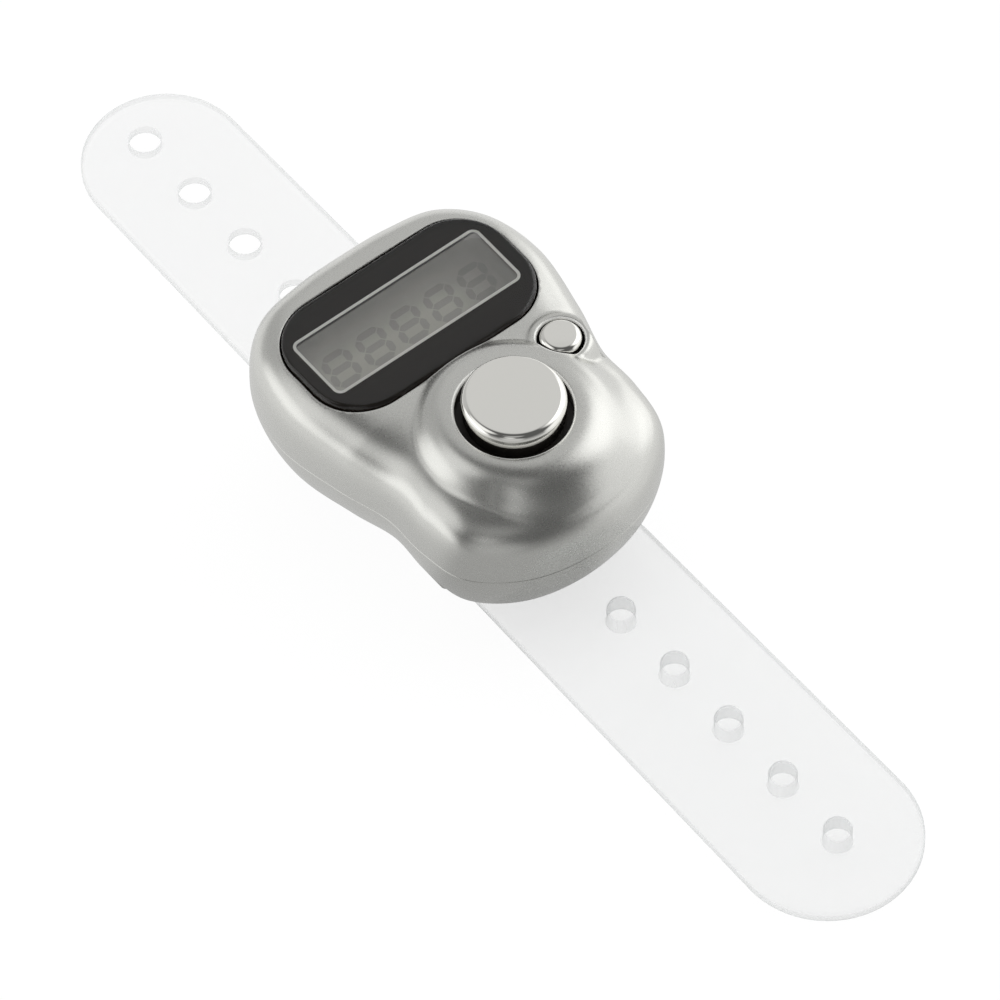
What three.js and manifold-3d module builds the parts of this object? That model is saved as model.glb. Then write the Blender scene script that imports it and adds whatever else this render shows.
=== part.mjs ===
// A finger tally counter: a two-part moulded case on a clear strap, with a count button, a reset
// button and a five-digit liquid crystal display. Millimetres, +Z up, the strap lies along Y.
// The origin is on the surface that the counter stands on, under the middle of the strap.

import * as THREE from 'three';
import { mergeVertices } from 'three/addons/utils/BufferGeometryUtils.js';
import Module from 'manifold-3d';

// Clearances
const seatGap = 0.12; // between pieces that rest on each other
const slideGap = 0.3; // between pieces that move past each other
const screwGap = 0.15; // round a screw in its hole
const bondGap = 0.05; // between pieces that are glued or soldered together

// Strap
const strapLength = 82.4;
const strapThickness = 1.0;
const strapWidthAtStuds = 12.8;
const strapWidthAtHoles = 11.5;
const fasteningPitch = 5.55; // of the holes and of the studs
const holeDiameter = 2.2;
const holeFromTip = 3.45; // the last hole's centre
const studDiameter = 1.95;
const studHeight = 2.0;
const studFromTip = 5.3; // the last stud's centre
const studFromNose = 2; // at least, the first stud's centre from the case

// Strap bridges under the case, one near each end
const bridgeThickness = 0.7; // the bar under the strap
const bridgeWidth = 2.6; // along the strap
const bridgeLegThickness = 0.72;
const bridgeCorner = 1.2;
const bridgeRoot = 0.8; // how far the legs reach up into the case
const noseBridgeY = -2.2;
const displayBridgeY = 9.3;
const strapTravel = 1.8; // towards the hole end, before the first stud meets the case

// Case outline at its widest height, as half widths at places along Y
const noseTipY = -11.6;
const cheekHalfWidth = 9.2;
const cheekY = -4.3;
const waistHalfWidth = 9.25;
const waistY = -0.8;
const flareHalfWidth = 10.3;
const flareY = 3.25;
const displayHalfWidth = 11.1;
const displayWidestY = 8.5;
const displayEndY = 16.4;
const noseCorner = [[4.2, 1.0], [0.8, 3.8]]; // steps in from the cheeks, and back from the tip
const displayCorner = [[1.1, 3.55], [3.65, 1.0], [7.4, 0.15]]; // the same at the display end
const caseCentreY = 2.6; // the case narrows evenly towards this place

// Case section
const caseHeight = 10.6; // from the underside to the top face
const widestHeight = 5.9; // above the underside
const lowerReach = 3.05; // how far the side draws in below the widest height
const lowerPower = 1.7;
const upperReach = 6.06; // how far the rounded shoulder reaches in from the side
const noseExtraReach = 1.6; // the shoulder is longer over the nose
const upperPower = 3.41;
const topSlope = 0.025; // the top face falls this much for each millimetre towards the nose
const wall = 1.2;
const floorThickness = 1.1;
const innerLowerReach = 2.1; // the cavity's sides draw in less than the outside does
const innerUpperReach = 1.8;
const seamHeight = 5.2; // the parting plane above the underside, at the case's centre
const seamSlope = 0.035; // it rises towards the nose
const seamGap = 0.1;
const lipThickness = 0.4;
const lipHeight = 0.8; // above and below the parting plane
const lipOverlap = 0.2; // with the wall that it grows from

// Display
const lensWidth = 17.7;
const lensLength = 9.75;
const lensCorner = 3.8;
const lensThickness = 1.0;
const lensBevel = 0.12;
const lensProud = 0.05; // above the case's top face
const lensY = 8.5;
const ledgeThickness = 0.8; // the case under the lens's rim
const glassWidth = 15.9;
const glassThickness = 0.7;
const frontGlassLength = 6.9;
const rearGlassLength = 5.5;
const glassPastLens = 2.8; // both glasses end this far past the lens's middle
const glassGap = 0.15; // between the glass and the case
const filmThickness = 0.15;
const filmInset = 0.1;
const connectorWidth = 15.2;
const connectorLength = 1.0;

// Count button
const countY = -2.55;
const countHoleRadius = 3.93;
const countRadius = 3.48;
const countAboveRim = 1.45;
const countEdge = 0.5;
const countFlangeRadius = 4.55;
const countFlangeThickness = 0.7;
const countPostRadius = 1.3;
const countTravel = 0.8;
const countCupWall = 0.9; // its thickness round the groove inside
const countDomeRadius = 2.7;
const countDomeHeight = 2.3;
const countRimHeight = 11.7; // the raised ring's top, above the underside
const countRimWidth = 0.45;
const countRingRadius = 6.0; // where the ring meets the top face
const countRingDrop = 1.1;
const countFootRadius = 6.6;
const countFootDrop = 1.7;
const ringCrown = 0.37; // the share of its drop that a ring has fallen half way out

// Reset button
const resetX = 6.4;
const resetY = 0.55;
const resetHoleRadius = 1.6;
const resetRadius = 1.42;
const resetAboveRim = 0.4;
const resetEdge = 0.3;
const resetFlangeRadius = 1.95;
const resetFlangeThickness = 0.4;
const resetPostRadius = 0.8;
const resetDomeRadius = 1.2;
const resetDomeHeight = 1.55;
const resetRimHeight = 10.75;
const resetRimWidth = 0.35;
const resetFootRadius = 2.6;
const resetFootDrop = 0.9;

// Rubber domes and their contact pills
const domeWall = 0.35;
const domeBrim = 0.3;
const domeCrown = 0.56; // thicker than the wall, it carries the pill
const domeShoulderWidth = 0.3;
const domeShoulderHeight = 0.5;
const pillThickness = 0.4;
const countPillRadius = 0.8;
const resetPillRadius = 0.32;

// Circuit board and what it carries
const boardThickness = 0.8;
const boardEdgeGap = 0.2;
const boardUnderDisplay = 1.54; // room for the chip's cap
const chipCapRadius = 2.3;
const chipCapHeight = 0.5;
const chipPartLength = 1.6;
const chipPartWidth = 0.8;
const chipPartHeight = 0.55;
const chipPartX = 4.9; // the three small parts stand this far from the middle
const chipPartNearY = -5.9;
const chipPartFarY = 2.7;

// Battery, the thickest standard 11.6 millimetre button cell that fits, and its contacts
const batteryRadius = 5.8;
const standardHeights = [5.4, 4.2, 3.05, 2.05];
const springRoom = 0.55; // at least, between the battery and the board
const batteryStep = 0.9; // the smaller negative can
const batteryCrimp = 0.25;
const batteryGasket = 0.12;
const batteryY = 5.4;
const holderWall = 0.7;
const holderHeight = 1.7;
const contactThickness = 0.2;
const contactWidth = 3.0;
const contactTab = 1.3; // soldered to the board
const positiveFoot = 3.5; // under the battery
const springFlat = 1.4; // half the length that presses on the battery
const springRise = 1.5;

// Screws
const caseScrewHeadRadius = 1.35;
const caseScrewHeadHeight = 0.8;
const caseScrewRadius = 0.75;
const caseScrewLength = 4.6;
const caseScrewRecess = 0.9; // the head stands this deep in the underside
const caseScrewFromNose = 3.7;
const caseScrewFromEnd = 3.45;
const caseBossRadius = 1.5;
const caseBossDrop = 1.3; // below the parting plane
const casePilotDepth = 3.6;
const postWall = 0.5; // round the head's hole
const boardScrewHeadRadius = 0.95;
const boardScrewHeadHeight = 0.55;
const boardScrewRadius = 0.45;
const boardScrewLength = 2.2;
const boardBossRadius = 1.1;
const boardPilotDepth = 1.8;
const boardScrewFromWaist = 3.45; // in from the side at the waist
const boardScrewPastWaist = 1.0;
const boardScrewFromSide = 5.8; // in from the side at the display
const boardScrewFromEnd = 3.3;
const bossRoot = 0.5; // how far a boss reaches up into the case's top
const slotWidth = 0.35;
const slotDepth = 0.4; // as a share of the head's height
const headTaper = 0.8; // the crown's radius as a share of the head's

// Heights worked out from the values above
const strapBottom = bridgeThickness + slideGap;
const strapTop = strapBottom + strapThickness;
const underside = strapTop + slideGap;
const floorTop = underside + floorThickness;
const widest = underside + widestHeight;
const caseTop = underside + caseHeight;
const lensTop = caseTop + lensProud;
const lensSeat = lensTop - lensThickness - seatGap;
const ceiling = lensSeat - ledgeThickness;
const frontFilmBottom = lensTop - lensThickness - seatGap - filmThickness;
const frontGlassBottom = frontFilmBottom - bondGap - glassThickness;
const rearGlassBottom = frontGlassBottom - bondGap - glassThickness;
const reflectorBottom = rearGlassBottom - bondGap - filmThickness;
const boardTop = reflectorBottom - boardUnderDisplay;
const boardBottom = boardTop - boardThickness;
const batteryBottom = floorTop + contactThickness + 2 * seatGap;
const batteryRoom = boardBottom - springRoom - batteryBottom;
const batteryTop = batteryBottom + standardHeights.find((height) => height <= batteryRoom);
const caseScrewHeadTop = underside + caseScrewRecess + caseScrewHeadHeight;
const caseBossLow = underside + seamHeight - caseBossDrop;
const countRimTop = underside + countRimHeight;
const countTop = countRimTop + countAboveRim;
const countCavityTop = countRimTop - wall;
const countFlangeTop = countCavityTop - seatGap;
const countFlangeBottom = countFlangeTop - countFlangeThickness;
const countDomeTop = boardTop + seatGap + countDomeHeight;
const resetRimTop = underside + resetRimHeight;
const resetTop = resetRimTop + resetAboveRim;
const resetCavityTop = ceiling - topSlope * (lensY - resetY);
const resetFlangeTop = resetCavityTop - seatGap;
const resetFlangeBottom = resetFlangeTop - resetFlangeThickness;
const resetDomeTop = boardTop + seatGap + resetDomeHeight;

// Places worked out from the values above
const studRun = strapLength / 2 - studFromTip + noseTipY - studFromNose;
const fasteningCount = 1 + Math.floor(studRun / fasteningPitch); // holes, and as many studs
const glassEndY = lensY + glassPastLens;
const caseScrewPlaces = [noseTipY + caseScrewFromNose, displayEndY - caseScrewFromEnd]; // along Y
const boardScrewPlaces = [
  [boardScrewFromWaist - waistHalfWidth, waistY + boardScrewPastWaist],
  [boardScrewFromSide - displayHalfWidth, displayEndY - boardScrewFromEnd],
  [displayHalfWidth - boardScrewFromSide, displayEndY - boardScrewFromEnd],
];
const widestAtNoseBridge = strapHalfWidth(noseBridgeY - bridgeWidth / 2 - strapTravel);
const channelHalfWidth = widestAtNoseBridge + slideGap / 2;
const farAway = 60; // larger than the whole object

const wasm = await Module();
wasm.setup();

// Solids and boolean work
function solidOf(geometry) {
  const bare = geometry.clone();
  bare.deleteAttribute('normal');
  bare.deleteAttribute('uv');
  const merged = mergeVertices(bare, 1e-4);
  const mesh = new wasm.Mesh({
    numProp: 3,
    vertProperties: new Float32Array(merged.attributes.position.array),
    triVerts: new Uint32Array(merged.index.array),
  });
  return new wasm.Manifold(mesh);
}

function geometryOf(solid) {
  const mesh = solid.getMesh();
  const geometry = new THREE.BufferGeometry();
  geometry.setAttribute('position', new THREE.BufferAttribute(mesh.vertProperties, 3));
  geometry.setIndex(new THREE.BufferAttribute(mesh.triVerts, 1));
  geometry.computeVertexNormals();
  return geometry;
}

function join(first, ...others) {
  return others.reduce((sum, other) => sum.add(other), first);
}

function cut(first, ...tools) {
  return tools.reduce((rest, tool) => rest.subtract(tool), first);
}

// Half the strap's width at a place along it
function strapHalfWidth(y) {
  const studSide = (strapWidthAtStuds - strapLength) / 2;
  const holeSide = (strapLength - strapWidthAtHoles) / 2;
  const share = (y - studSide) / (holeSide - studSide);
  return THREE.MathUtils.lerp(strapWidthAtStuds, strapWidthAtHoles, share) / 2;
}

// Plain forms, all standing along Z
function disc(radius, low, high, x = 0, y = 0, sides = 28) {
  const geometry = new THREE.CylinderGeometry(radius, radius, high - low, sides);
  geometry.rotateX(Math.PI / 2);
  geometry.translate(x, y, (low + high) / 2);
  return solidOf(geometry);
}

function block(left, right, near, far, low, high) {
  const geometry = new THREE.BoxGeometry(right - left, far - near, high - low);
  geometry.translate((left + right) / 2, (near + far) / 2, (low + high) / 2);
  return solidOf(geometry);
}

function turned(profile, x, y, sides = 36) {
  const points = profile.map(([radius, height]) => new THREE.Vector2(radius, height));
  const geometry = new THREE.LatheGeometry(points, sides);
  geometry.rotateX(Math.PI / 2);
  geometry.translate(x, y, 0);
  return solidOf(geometry);
}

function arc(centreRadius, centreHeight, radius, from, to, steps = 4) {
  return Array.from({ length: steps + 1 }, (_, i) => {
    const angle = THREE.MathUtils.degToRad(from + (to - from) * i / steps);
    return [centreRadius + radius * Math.cos(angle), centreHeight + radius * Math.sin(angle)];
  });
}

function extruded(shape, low, high, segments = 8) {
  const geometry = new THREE.ExtrudeGeometry(shape, {
    depth: high - low, bevelEnabled: false, curveSegments: segments,
  });
  geometry.translate(0, 0, low);
  return solidOf(geometry);
}

function roundedRectangle(width, length, corner, y = 0) {
  const shape = new THREE.Shape();
  const right = width / 2;
  const far = length / 2;
  shape.moveTo(right, y + corner - far);
  shape.absarc(right - corner, y + far - corner, corner, 0, Math.PI / 2);
  shape.absarc(corner - right, y + far - corner, corner, Math.PI / 2, Math.PI);
  shape.absarc(corner - right, y + corner - far, corner, Math.PI, Math.PI * 1.5);
  shape.absarc(right - corner, y + corner - far, corner, Math.PI * 1.5, Math.PI * 2);
  return shape;
}

// The case's outline, a smooth closed curve mirrored about the YZ plane
const outlineSides = 54;

function caseOutline() {
  const half = [
    ...noseCorner.map(([inwards, back]) => [cheekHalfWidth - inwards, noseTipY + back]),
    [cheekHalfWidth, cheekY],
    [waistHalfWidth, waistY],
    [flareHalfWidth, flareY],
    [displayHalfWidth, displayWidestY],
    ...displayCorner.map(([inwards, back]) => [displayHalfWidth - inwards, displayEndY - back]),
  ];
  const right = half.map(([x, y]) => new THREE.Vector3(x, y, 0));
  const left = half.map(([x, y]) => new THREE.Vector3(-x, y, 0)).reverse();
  const nose = new THREE.Vector3(0, noseTipY, 0);
  const end = new THREE.Vector3(0, displayEndY, 0);
  const curve = new THREE.CatmullRomCurve3([nose, ...right, end, ...left], true, 'centripetal');
  return curve.getSpacedPoints(outlineSides).slice(0, outlineSides);
}

const outline = caseOutline();

// A point of the outline drawn in towards the case's centre
function drawnIn(point, inset) {
  const toPoint = new THREE.Vector2(point.x, point.y - caseCentreY);
  const length = toPoint.length();
  toPoint.multiplyScalar((length - inset) / length);
  return new THREE.Vector2(toPoint.x, toPoint.y + caseCentreY);
}

// How far a superellipse has turned in at a share of its height
function turnIn(share, power) {
  return 1 - (1 - share ** power) ** (1 / power);
}

// The case's closed form between a floor and a roof, with its sides drawn in
function caseForm({ inset, floor, roof, lower, upper, extra }) {
  const lowerShares = [1, 0.93, 0.8, 0.55, 0.25];
  const upperShares = [0, 0.3, 0.55, 0.73, 0.85, 0.925, 0.97, 1];
  const rings = [];
  for (const share of lowerShares) {
    rings.push(outline.map((point) => {
      const place = drawnIn(point, inset + lower * turnIn(share, lowerPower));
      return [place.x, place.y, widest - share * (widest - floor)];
    }));
  }
  for (const share of upperShares) {
    rings.push(outline.map((point) => {
      const towardsNose = Math.max(0, (caseCentreY - point.y) / (caseCentreY - noseTipY));
      const reach = upper + extra * towardsNose ** 2;
      const place = drawnIn(point, inset + reach * turnIn(share, upperPower));
      const top = roof - topSlope * (lensY - place.y);
      return [place.x, place.y, widest + share * (top - widest)];
    }));
  }
  return loft(rings);
}

// A closed body through rings of equal count, from the lowest to the highest
function loft(rings) {
  const sides = rings[0].length;
  const positions = rings.flat(2);
  const index = [];
  for (let ring = 0; ring < rings.length - 1; ring++) {
    for (let side = 0; side < sides; side++) {
      const next = (side + 1) % sides;
      const a = ring * sides + side;
      const b = ring * sides + next;
      index.push(a, b, b + sides, a, b + sides, a + sides);
    }
  }
  const capCentre = (ring) => [0, caseCentreY, ring.reduce((sum, point) => sum + point[2], 0) / sides];
  const lowCentre = positions.length / 3;
  positions.push(...capCentre(rings[0]), ...capCentre(rings.at(-1)));
  const lastRing = (rings.length - 1) * sides;
  for (let side = 0; side < sides; side++) {
    const next = (side + 1) % sides;
    index.push(lowCentre, next, side);
    index.push(lowCentre + 1, lastRing + side, lastRing + next);
  }
  const geometry = new THREE.BufferGeometry();
  geometry.setAttribute('position', new THREE.Float32BufferAttribute(positions, 3));
  geometry.setIndex(index);
  return solidOf(geometry);
}

// Everything above or below the sloping parting plane, moved off it by a gap
function seamSide(above, gap) {
  const geometry = new THREE.BoxGeometry(farAway, farAway, farAway);
  geometry.translate(0, 0, (above ? 1 : -1) * (farAway / 2 + gap));
  geometry.rotateX(-Math.atan(seamSlope));
  geometry.translate(0, caseCentreY, underside + seamHeight);
  return solidOf(geometry);
}

const outerForm = caseForm({
  inset: 0, floor: underside, roof: caseTop, lower: lowerReach, upper: upperReach, extra: noseExtraReach,
});

function innerForm(inset, floor, roof) {
  return caseForm({ inset, floor, roof, lower: innerLowerReach, upper: innerUpperReach, extra: 0 });
}

// The raised ring round the count button, and the smaller one round the reset button
function countRing() {
  const flat = countHoleRadius + countRimWidth;
  return turned([
    [0, ceiling],
    [countFootRadius, ceiling],
    [countFootRadius, countRimTop - countFootDrop],
    [countRingRadius, countRimTop - countRingDrop],
    [(countRingRadius + flat) / 2, countRimTop - countRingDrop * ringCrown],
    [flat, countRimTop],
    [0, countRimTop],
  ], 0, countY, 44);
}

function resetRing() {
  const flat = resetHoleRadius + resetRimWidth;
  return turned([
    [0, ceiling],
    [resetFootRadius, ceiling],
    [resetFootRadius, resetRimTop - resetFootDrop],
    [(resetFootRadius + flat) / 2, resetRimTop - resetFootDrop * ringCrown],
    [flat, resetRimTop],
    [0, resetRimTop],
  ], resetX, resetY, 32);
}

// A hanging boss with a blind pilot hole for a screw
function hangingBoss(radius, pilotRadius, low, pilotDepth, x, y) {
  return cut(
    disc(radius, low, ceiling + bossRoot, x, y, 20),
    disc(pilotRadius, 0, low + pilotDepth, x, y, 16),
  );
}

function upperCase() {
  const cavity = join(
    innerForm(wall, floorTop, ceiling),
    disc(countFlangeRadius + slideGap, widest, countCavityTop, 0, countY, 40),
    disc(resetFlangeRadius + slideGap, widest, resetCavityTop, resetX, resetY, 28),
  );
  const overDisplay = block(-farAway, farAway, lensY, farAway, ceiling, farAway);
  const shell = cut(
    join(outerForm, countRing(), resetRing()).intersect(seamSide(true, seamGap / 2)),
    cut(cavity, overDisplay),
  );
  const bosses = [
    ...caseScrewPlaces.map((y) => hangingBoss(
      caseBossRadius, caseScrewRadius + screwGap, caseBossLow, casePilotDepth, 0, y)),
    ...boardScrewPlaces.map(([x, y]) => hangingBoss(
      boardBossRadius, boardScrewRadius + screwGap, boardTop + seatGap, boardPilotDepth, x, y)),
  ];
  const flangeRoom = disc(countFlangeRadius + slideGap,
    countFlangeBottom - countTravel - slideGap, countCavityTop, 0, countY, 40);
  const lensRoom = roundedRectangle(
    lensWidth + 2 * seatGap, lensLength + 2 * seatGap, lensCorner + seatGap, lensY);
  return cut(
    join(shell, ...bosses.map((boss) => cut(boss, flangeRoom))),
    extruded(lensRoom, lensSeat, farAway, 6),
    displaySheet(frontGlassLength, -glassGap, widest, lensSeat + seatGap),
    disc(countHoleRadius, widest, farAway, 0, countY, 44),
    disc(resetHoleRadius, widest, farAway, resetX, resetY, 28),
  );
}

// A bridge that holds the strap up to the case's underside
function strapBridge(y) {
  const width = 2 * (channelHalfWidth + bridgeLegThickness);
  const height = underside + bridgeRoot;
  const geometry = new THREE.ExtrudeGeometry(roundedRectangle(width, 2 * height, bridgeCorner), {
    depth: bridgeWidth, bevelEnabled: false, curveSegments: 5,
  });
  geometry.rotateX(Math.PI / 2);
  geometry.translate(0, y + bridgeWidth / 2, height);
  const opening = block(-channelHalfWidth, channelHalfWidth, -farAway, farAway, bridgeThickness, underside);
  const kept = block(-farAway, farAway, -farAway, farAway, 0, height);
  return cut(solidOf(geometry), opening).intersect(kept);
}

function backCover() {
  const shell = cut(
    outerForm.intersect(seamSide(false, seamGap / 2)),
    innerForm(wall, floorTop, farAway),
  );
  const lip = cut(
    join(
      innerForm(wall - lipOverlap, floorTop, farAway).intersect(seamSide(false, seamGap / 2)),
      innerForm(wall + seatGap, floorTop, farAway),
    ).intersect(seamSide(false, -lipHeight)).intersect(seamSide(true, -lipHeight)),
    innerForm(wall + seatGap + lipThickness, floorTop, farAway),
  );
  const well = disc(batteryRadius + seatGap, floorTop, farAway, 0, batteryY, 40);
  const holder = cut(
    disc(batteryRadius + seatGap + holderWall, floorTop - floorThickness / 2, floorTop + holderHeight,
      0, batteryY, 40),
    block(0, farAway, batteryY - contactWidth / 2 - slideGap,
      batteryY + contactWidth / 2 + slideGap, floorTop, farAway),
  );
  const posts = caseScrewPlaces.map((y) => disc(caseScrewHeadRadius + screwGap + postWall,
    floorTop - floorThickness / 2, caseBossLow - seatGap, 0, y, 20));
  const screwHoles = caseScrewPlaces.flatMap((y) => [
    disc(caseScrewRadius + screwGap, 0, farAway, 0, y, 16),
    disc(caseScrewHeadRadius + screwGap, 0, caseScrewHeadTop + seatGap, 0, y, 20),
  ]);
  return cut(
    join(shell, lip, holder, ...posts, strapBridge(noseBridgeY), strapBridge(displayBridgeY)),
    well,
    ...screwHoles,
  );
}

function strap() {
  const studEnd = -strapLength / 2;
  const holeEnd = strapLength / 2;
  const nearRadius = strapWidthAtStuds / 2;
  const farRadius = strapWidthAtHoles / 2;
  const shape = new THREE.Shape();
  shape.absarc(0, holeEnd - farRadius, farRadius, 0, Math.PI);
  shape.absarc(0, studEnd + nearRadius, nearRadius, Math.PI, Math.PI * 2);
  const band = extruded(shape, strapBottom, strapTop, 16);
  const steps = Array.from({ length: fasteningCount }, (_, i) => i * fasteningPitch);
  const holes = steps.map((step) => disc(
    holeDiameter / 2, 0, farAway, 0, holeEnd - holeFromTip - step, 20));
  const studs = steps.map((step) => disc(studDiameter / 2, strapTop - strapThickness / 2,
    strapTop + studHeight, 0, studEnd + studFromTip + step, 20));
  return cut(join(band, ...studs), ...holes);
}

// Display
function lens() {
  const bevel = { bevelEnabled: true, bevelSize: lensBevel, bevelThickness: lensBevel, bevelSegments: 1 };
  const shape = roundedRectangle(lensWidth - 2 * lensBevel, lensLength - 2 * lensBevel,
    lensCorner - lensBevel, lensY);
  const geometry = new THREE.ExtrudeGeometry(shape, {
    depth: lensThickness - 2 * lensBevel, curveSegments: 6, ...bevel,
  });
  geometry.translate(0, 0, lensTop - lensThickness + lensBevel);
  return solidOf(geometry);
}

// A sheet as wide as the display's glass, laid back from where the glass ends
function displaySheet(length, inset, low, high) {
  const halfWidth = glassWidth / 2 - inset;
  return block(-halfWidth, halfWidth, glassEndY - length + inset, glassEndY - inset, low, high);
}

function connectorStrip() {
  const near = glassEndY - frontGlassLength + glassGap;
  return block(-connectorWidth / 2, connectorWidth / 2, near, near + connectorLength,
    boardTop + bondGap, frontGlassBottom - bondGap);
}

// Buttons, turned about their own axis: a flange keeps each in the case and a post stands over its dome
function button(size) {
  const { radius, top, edge, flangeRadius, flangeTop, flangeBottom, postRadius, postLow } = size;
  return turned([
    [0, postLow],
    [postRadius, postLow],
    ...size.groove,
    [flangeRadius, flangeBottom],
    [flangeRadius, flangeTop],
    [radius, flangeTop],
    ...arc(radius - edge, top - edge, edge, 0, 90, 3),
    [0, top],
  ], size.x, size.y, 32);
}

function countButton() {
  const cup = countRadius - countCupWall;
  return button({
    radius: countRadius,
    top: countTop,
    edge: countEdge,
    flangeRadius: countFlangeRadius,
    flangeTop: countFlangeTop,
    flangeBottom: countFlangeBottom,
    postRadius: countPostRadius,
    postLow: countDomeTop + seatGap,
    groove: [
      [countPostRadius, countTop - countCupWall],
      [cup, countTop - countCupWall],
      [cup, countFlangeBottom],
    ],
    x: 0,
    y: countY,
  });
}

function resetButton() {
  return button({
    radius: resetRadius,
    top: resetTop,
    edge: resetEdge,
    flangeRadius: resetFlangeRadius,
    flangeTop: resetFlangeTop,
    flangeBottom: resetFlangeBottom,
    postRadius: resetPostRadius,
    postLow: resetDomeTop + seatGap,
    groove: [[resetPostRadius, resetFlangeBottom]],
    x: resetX,
    y: resetY,
  });
}

// A rubber dome: a brim on the board, a cone and a flat crown, open underneath
function rubberDome({ radius, crownRadius, top, x, y }) {
  const low = boardTop + seatGap;
  const mouth = [radius - domeWall * 2, low];
  return turned([
    mouth,
    [radius, low],
    [radius, low + domeBrim],
    [crownRadius + domeShoulderWidth, top - domeShoulderHeight],
    [crownRadius, top],
    [0, top],
    [0, top - domeCrown],
    [crownRadius - domeWall, top - domeCrown],
    [radius - domeWall * 2, low + domeBrim / 2],
    mouth,
  ], x, y, 28);
}

function pill(radius, domeTop, x, y) {
  const top = domeTop - domeCrown - seatGap;
  return disc(radius, top - pillThickness, top, x, y, 20);
}

// Circuit board and small parts
function circuitBoard() {
  const inset = wall + seatGap + lipThickness + boardEdgeGap;
  const shape = new THREE.Shape(outline.map((point) => drawnIn(point, inset)));
  const bossRoom = caseBossRadius + slideGap;
  const [noseY, displayY] = caseScrewPlaces;
  return cut(
    extruded(shape, boardBottom, boardTop),
    block(-bossRoom, bossRoom, -farAway, noseY, 0, farAway),
    block(-bossRoom, bossRoom, displayY, farAway, 0, farAway),
    ...caseScrewPlaces.map((y) => disc(bossRoom, 0, farAway, 0, y, 20)),
    ...boardScrewPlaces.map(([x, y]) => disc(boardScrewRadius + screwGap, 0, farAway, x, y, 16)),
  );
}

function chipCap() {
  const low = boardTop + bondGap;
  return turned([
    [0, low],
    [chipCapRadius, low],
    [chipCapRadius * 0.93, low + chipCapHeight * 0.45],
    [chipCapRadius * 0.7, low + chipCapHeight * 0.85],
    [0, low + chipCapHeight],
  ], 0, lensY, 24);
}

function chipPart(x, y, turn) {
  const length = turn ? chipPartWidth : chipPartLength;
  const width = turn ? chipPartLength : chipPartWidth;
  const low = boardTop + bondGap;
  return block(x - length / 2, x + length / 2, y - width / 2, y + width / 2, low, low + chipPartHeight);
}

// Battery and contacts
function battery() {
  const gasket = batteryRadius - batteryStep;
  const canTop = batteryTop - batteryCrimp - batteryGasket;
  return turned([
    [0, batteryBottom],
    [batteryRadius - batteryCrimp, batteryBottom],
    [batteryRadius, batteryBottom + batteryCrimp],
    [batteryRadius, canTop],
    [batteryRadius - batteryCrimp, canTop + batteryGasket],
    [gasket, canTop + batteryGasket],
    [gasket - batteryCrimp, batteryTop],
    [0, batteryTop],
  ], 0, batteryY, 40);
}

// A bent strip, drawn as a profile in the XZ plane and as wide as the contact along Y
function bentStrip(profile, y) {
  const shape = new THREE.Shape(profile.map(([x, z]) => new THREE.Vector2(x, z)));
  const geometry = new THREE.ExtrudeGeometry(shape, { depth: contactWidth, bevelEnabled: false });
  geometry.rotateX(Math.PI / 2);
  geometry.translate(0, y + contactWidth / 2, 0);
  return solidOf(geometry);
}

function positiveContact() {
  const inner = batteryRadius + seatGap;
  const outer = inner + contactThickness;
  const low = floorTop + seatGap;
  const high = boardBottom - seatGap;
  return bentStrip([
    [inner - positiveFoot, low],
    [outer, low],
    [outer, high - contactThickness],
    [outer + contactTab, high - contactThickness],
    [outer + contactTab, high],
    [inner, high],
    [inner, low + contactThickness],
    [inner - positiveFoot, low + contactThickness],
  ], batteryY);
}

function negativeContact() {
  const high = boardBottom - seatGap;
  const low = batteryTop + seatGap;
  const bend = contactThickness / 2; // keeps the rising part as thick as the rest
  return bentStrip([
    [-springFlat - springRise - contactTab, high - contactThickness],
    [-springFlat - springRise, high - contactThickness],
    [-springFlat, low],
    [springFlat, low],
    [springFlat, low + contactThickness],
    [bend - springFlat, low + contactThickness],
    [bend - springFlat - springRise, high],
    [-springFlat - springRise - contactTab, high],
  ], batteryY);
}

// A pan-head screw, driven in from below, with a slot across its head
function screw({ headRadius, headHeight, radius, length, headTop, x, y }) {
  const headBottom = headTop - headHeight;
  const slotTop = headBottom + headHeight * slotDepth;
  const body = turned([
    [0, headBottom],
    [headRadius * headTaper, headBottom],
    [headRadius, slotTop],
    [headRadius, headTop],
    [radius, headTop],
    [radius, headTop + length - radius],
    [0, headTop + length],
  ], x, y, 20);
  const slot = block(x - headRadius, x + headRadius, y - slotWidth / 2, y + slotWidth / 2, 0, slotTop);
  return cut(body, slot);
}

function caseScrew(y) {
  return screw({
    headRadius: caseScrewHeadRadius,
    headHeight: caseScrewHeadHeight,
    radius: caseScrewRadius,
    length: caseScrewLength,
    headTop: caseScrewHeadTop,
    x: 0,
    y,
  });
}

function boardScrew([x, y]) {
  return screw({
    headRadius: boardScrewHeadRadius,
    headHeight: boardScrewHeadHeight,
    radius: boardScrewRadius,
    length: boardScrewLength,
    headTop: boardBottom - seatGap,
    x,
    y,
  });
}

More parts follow.
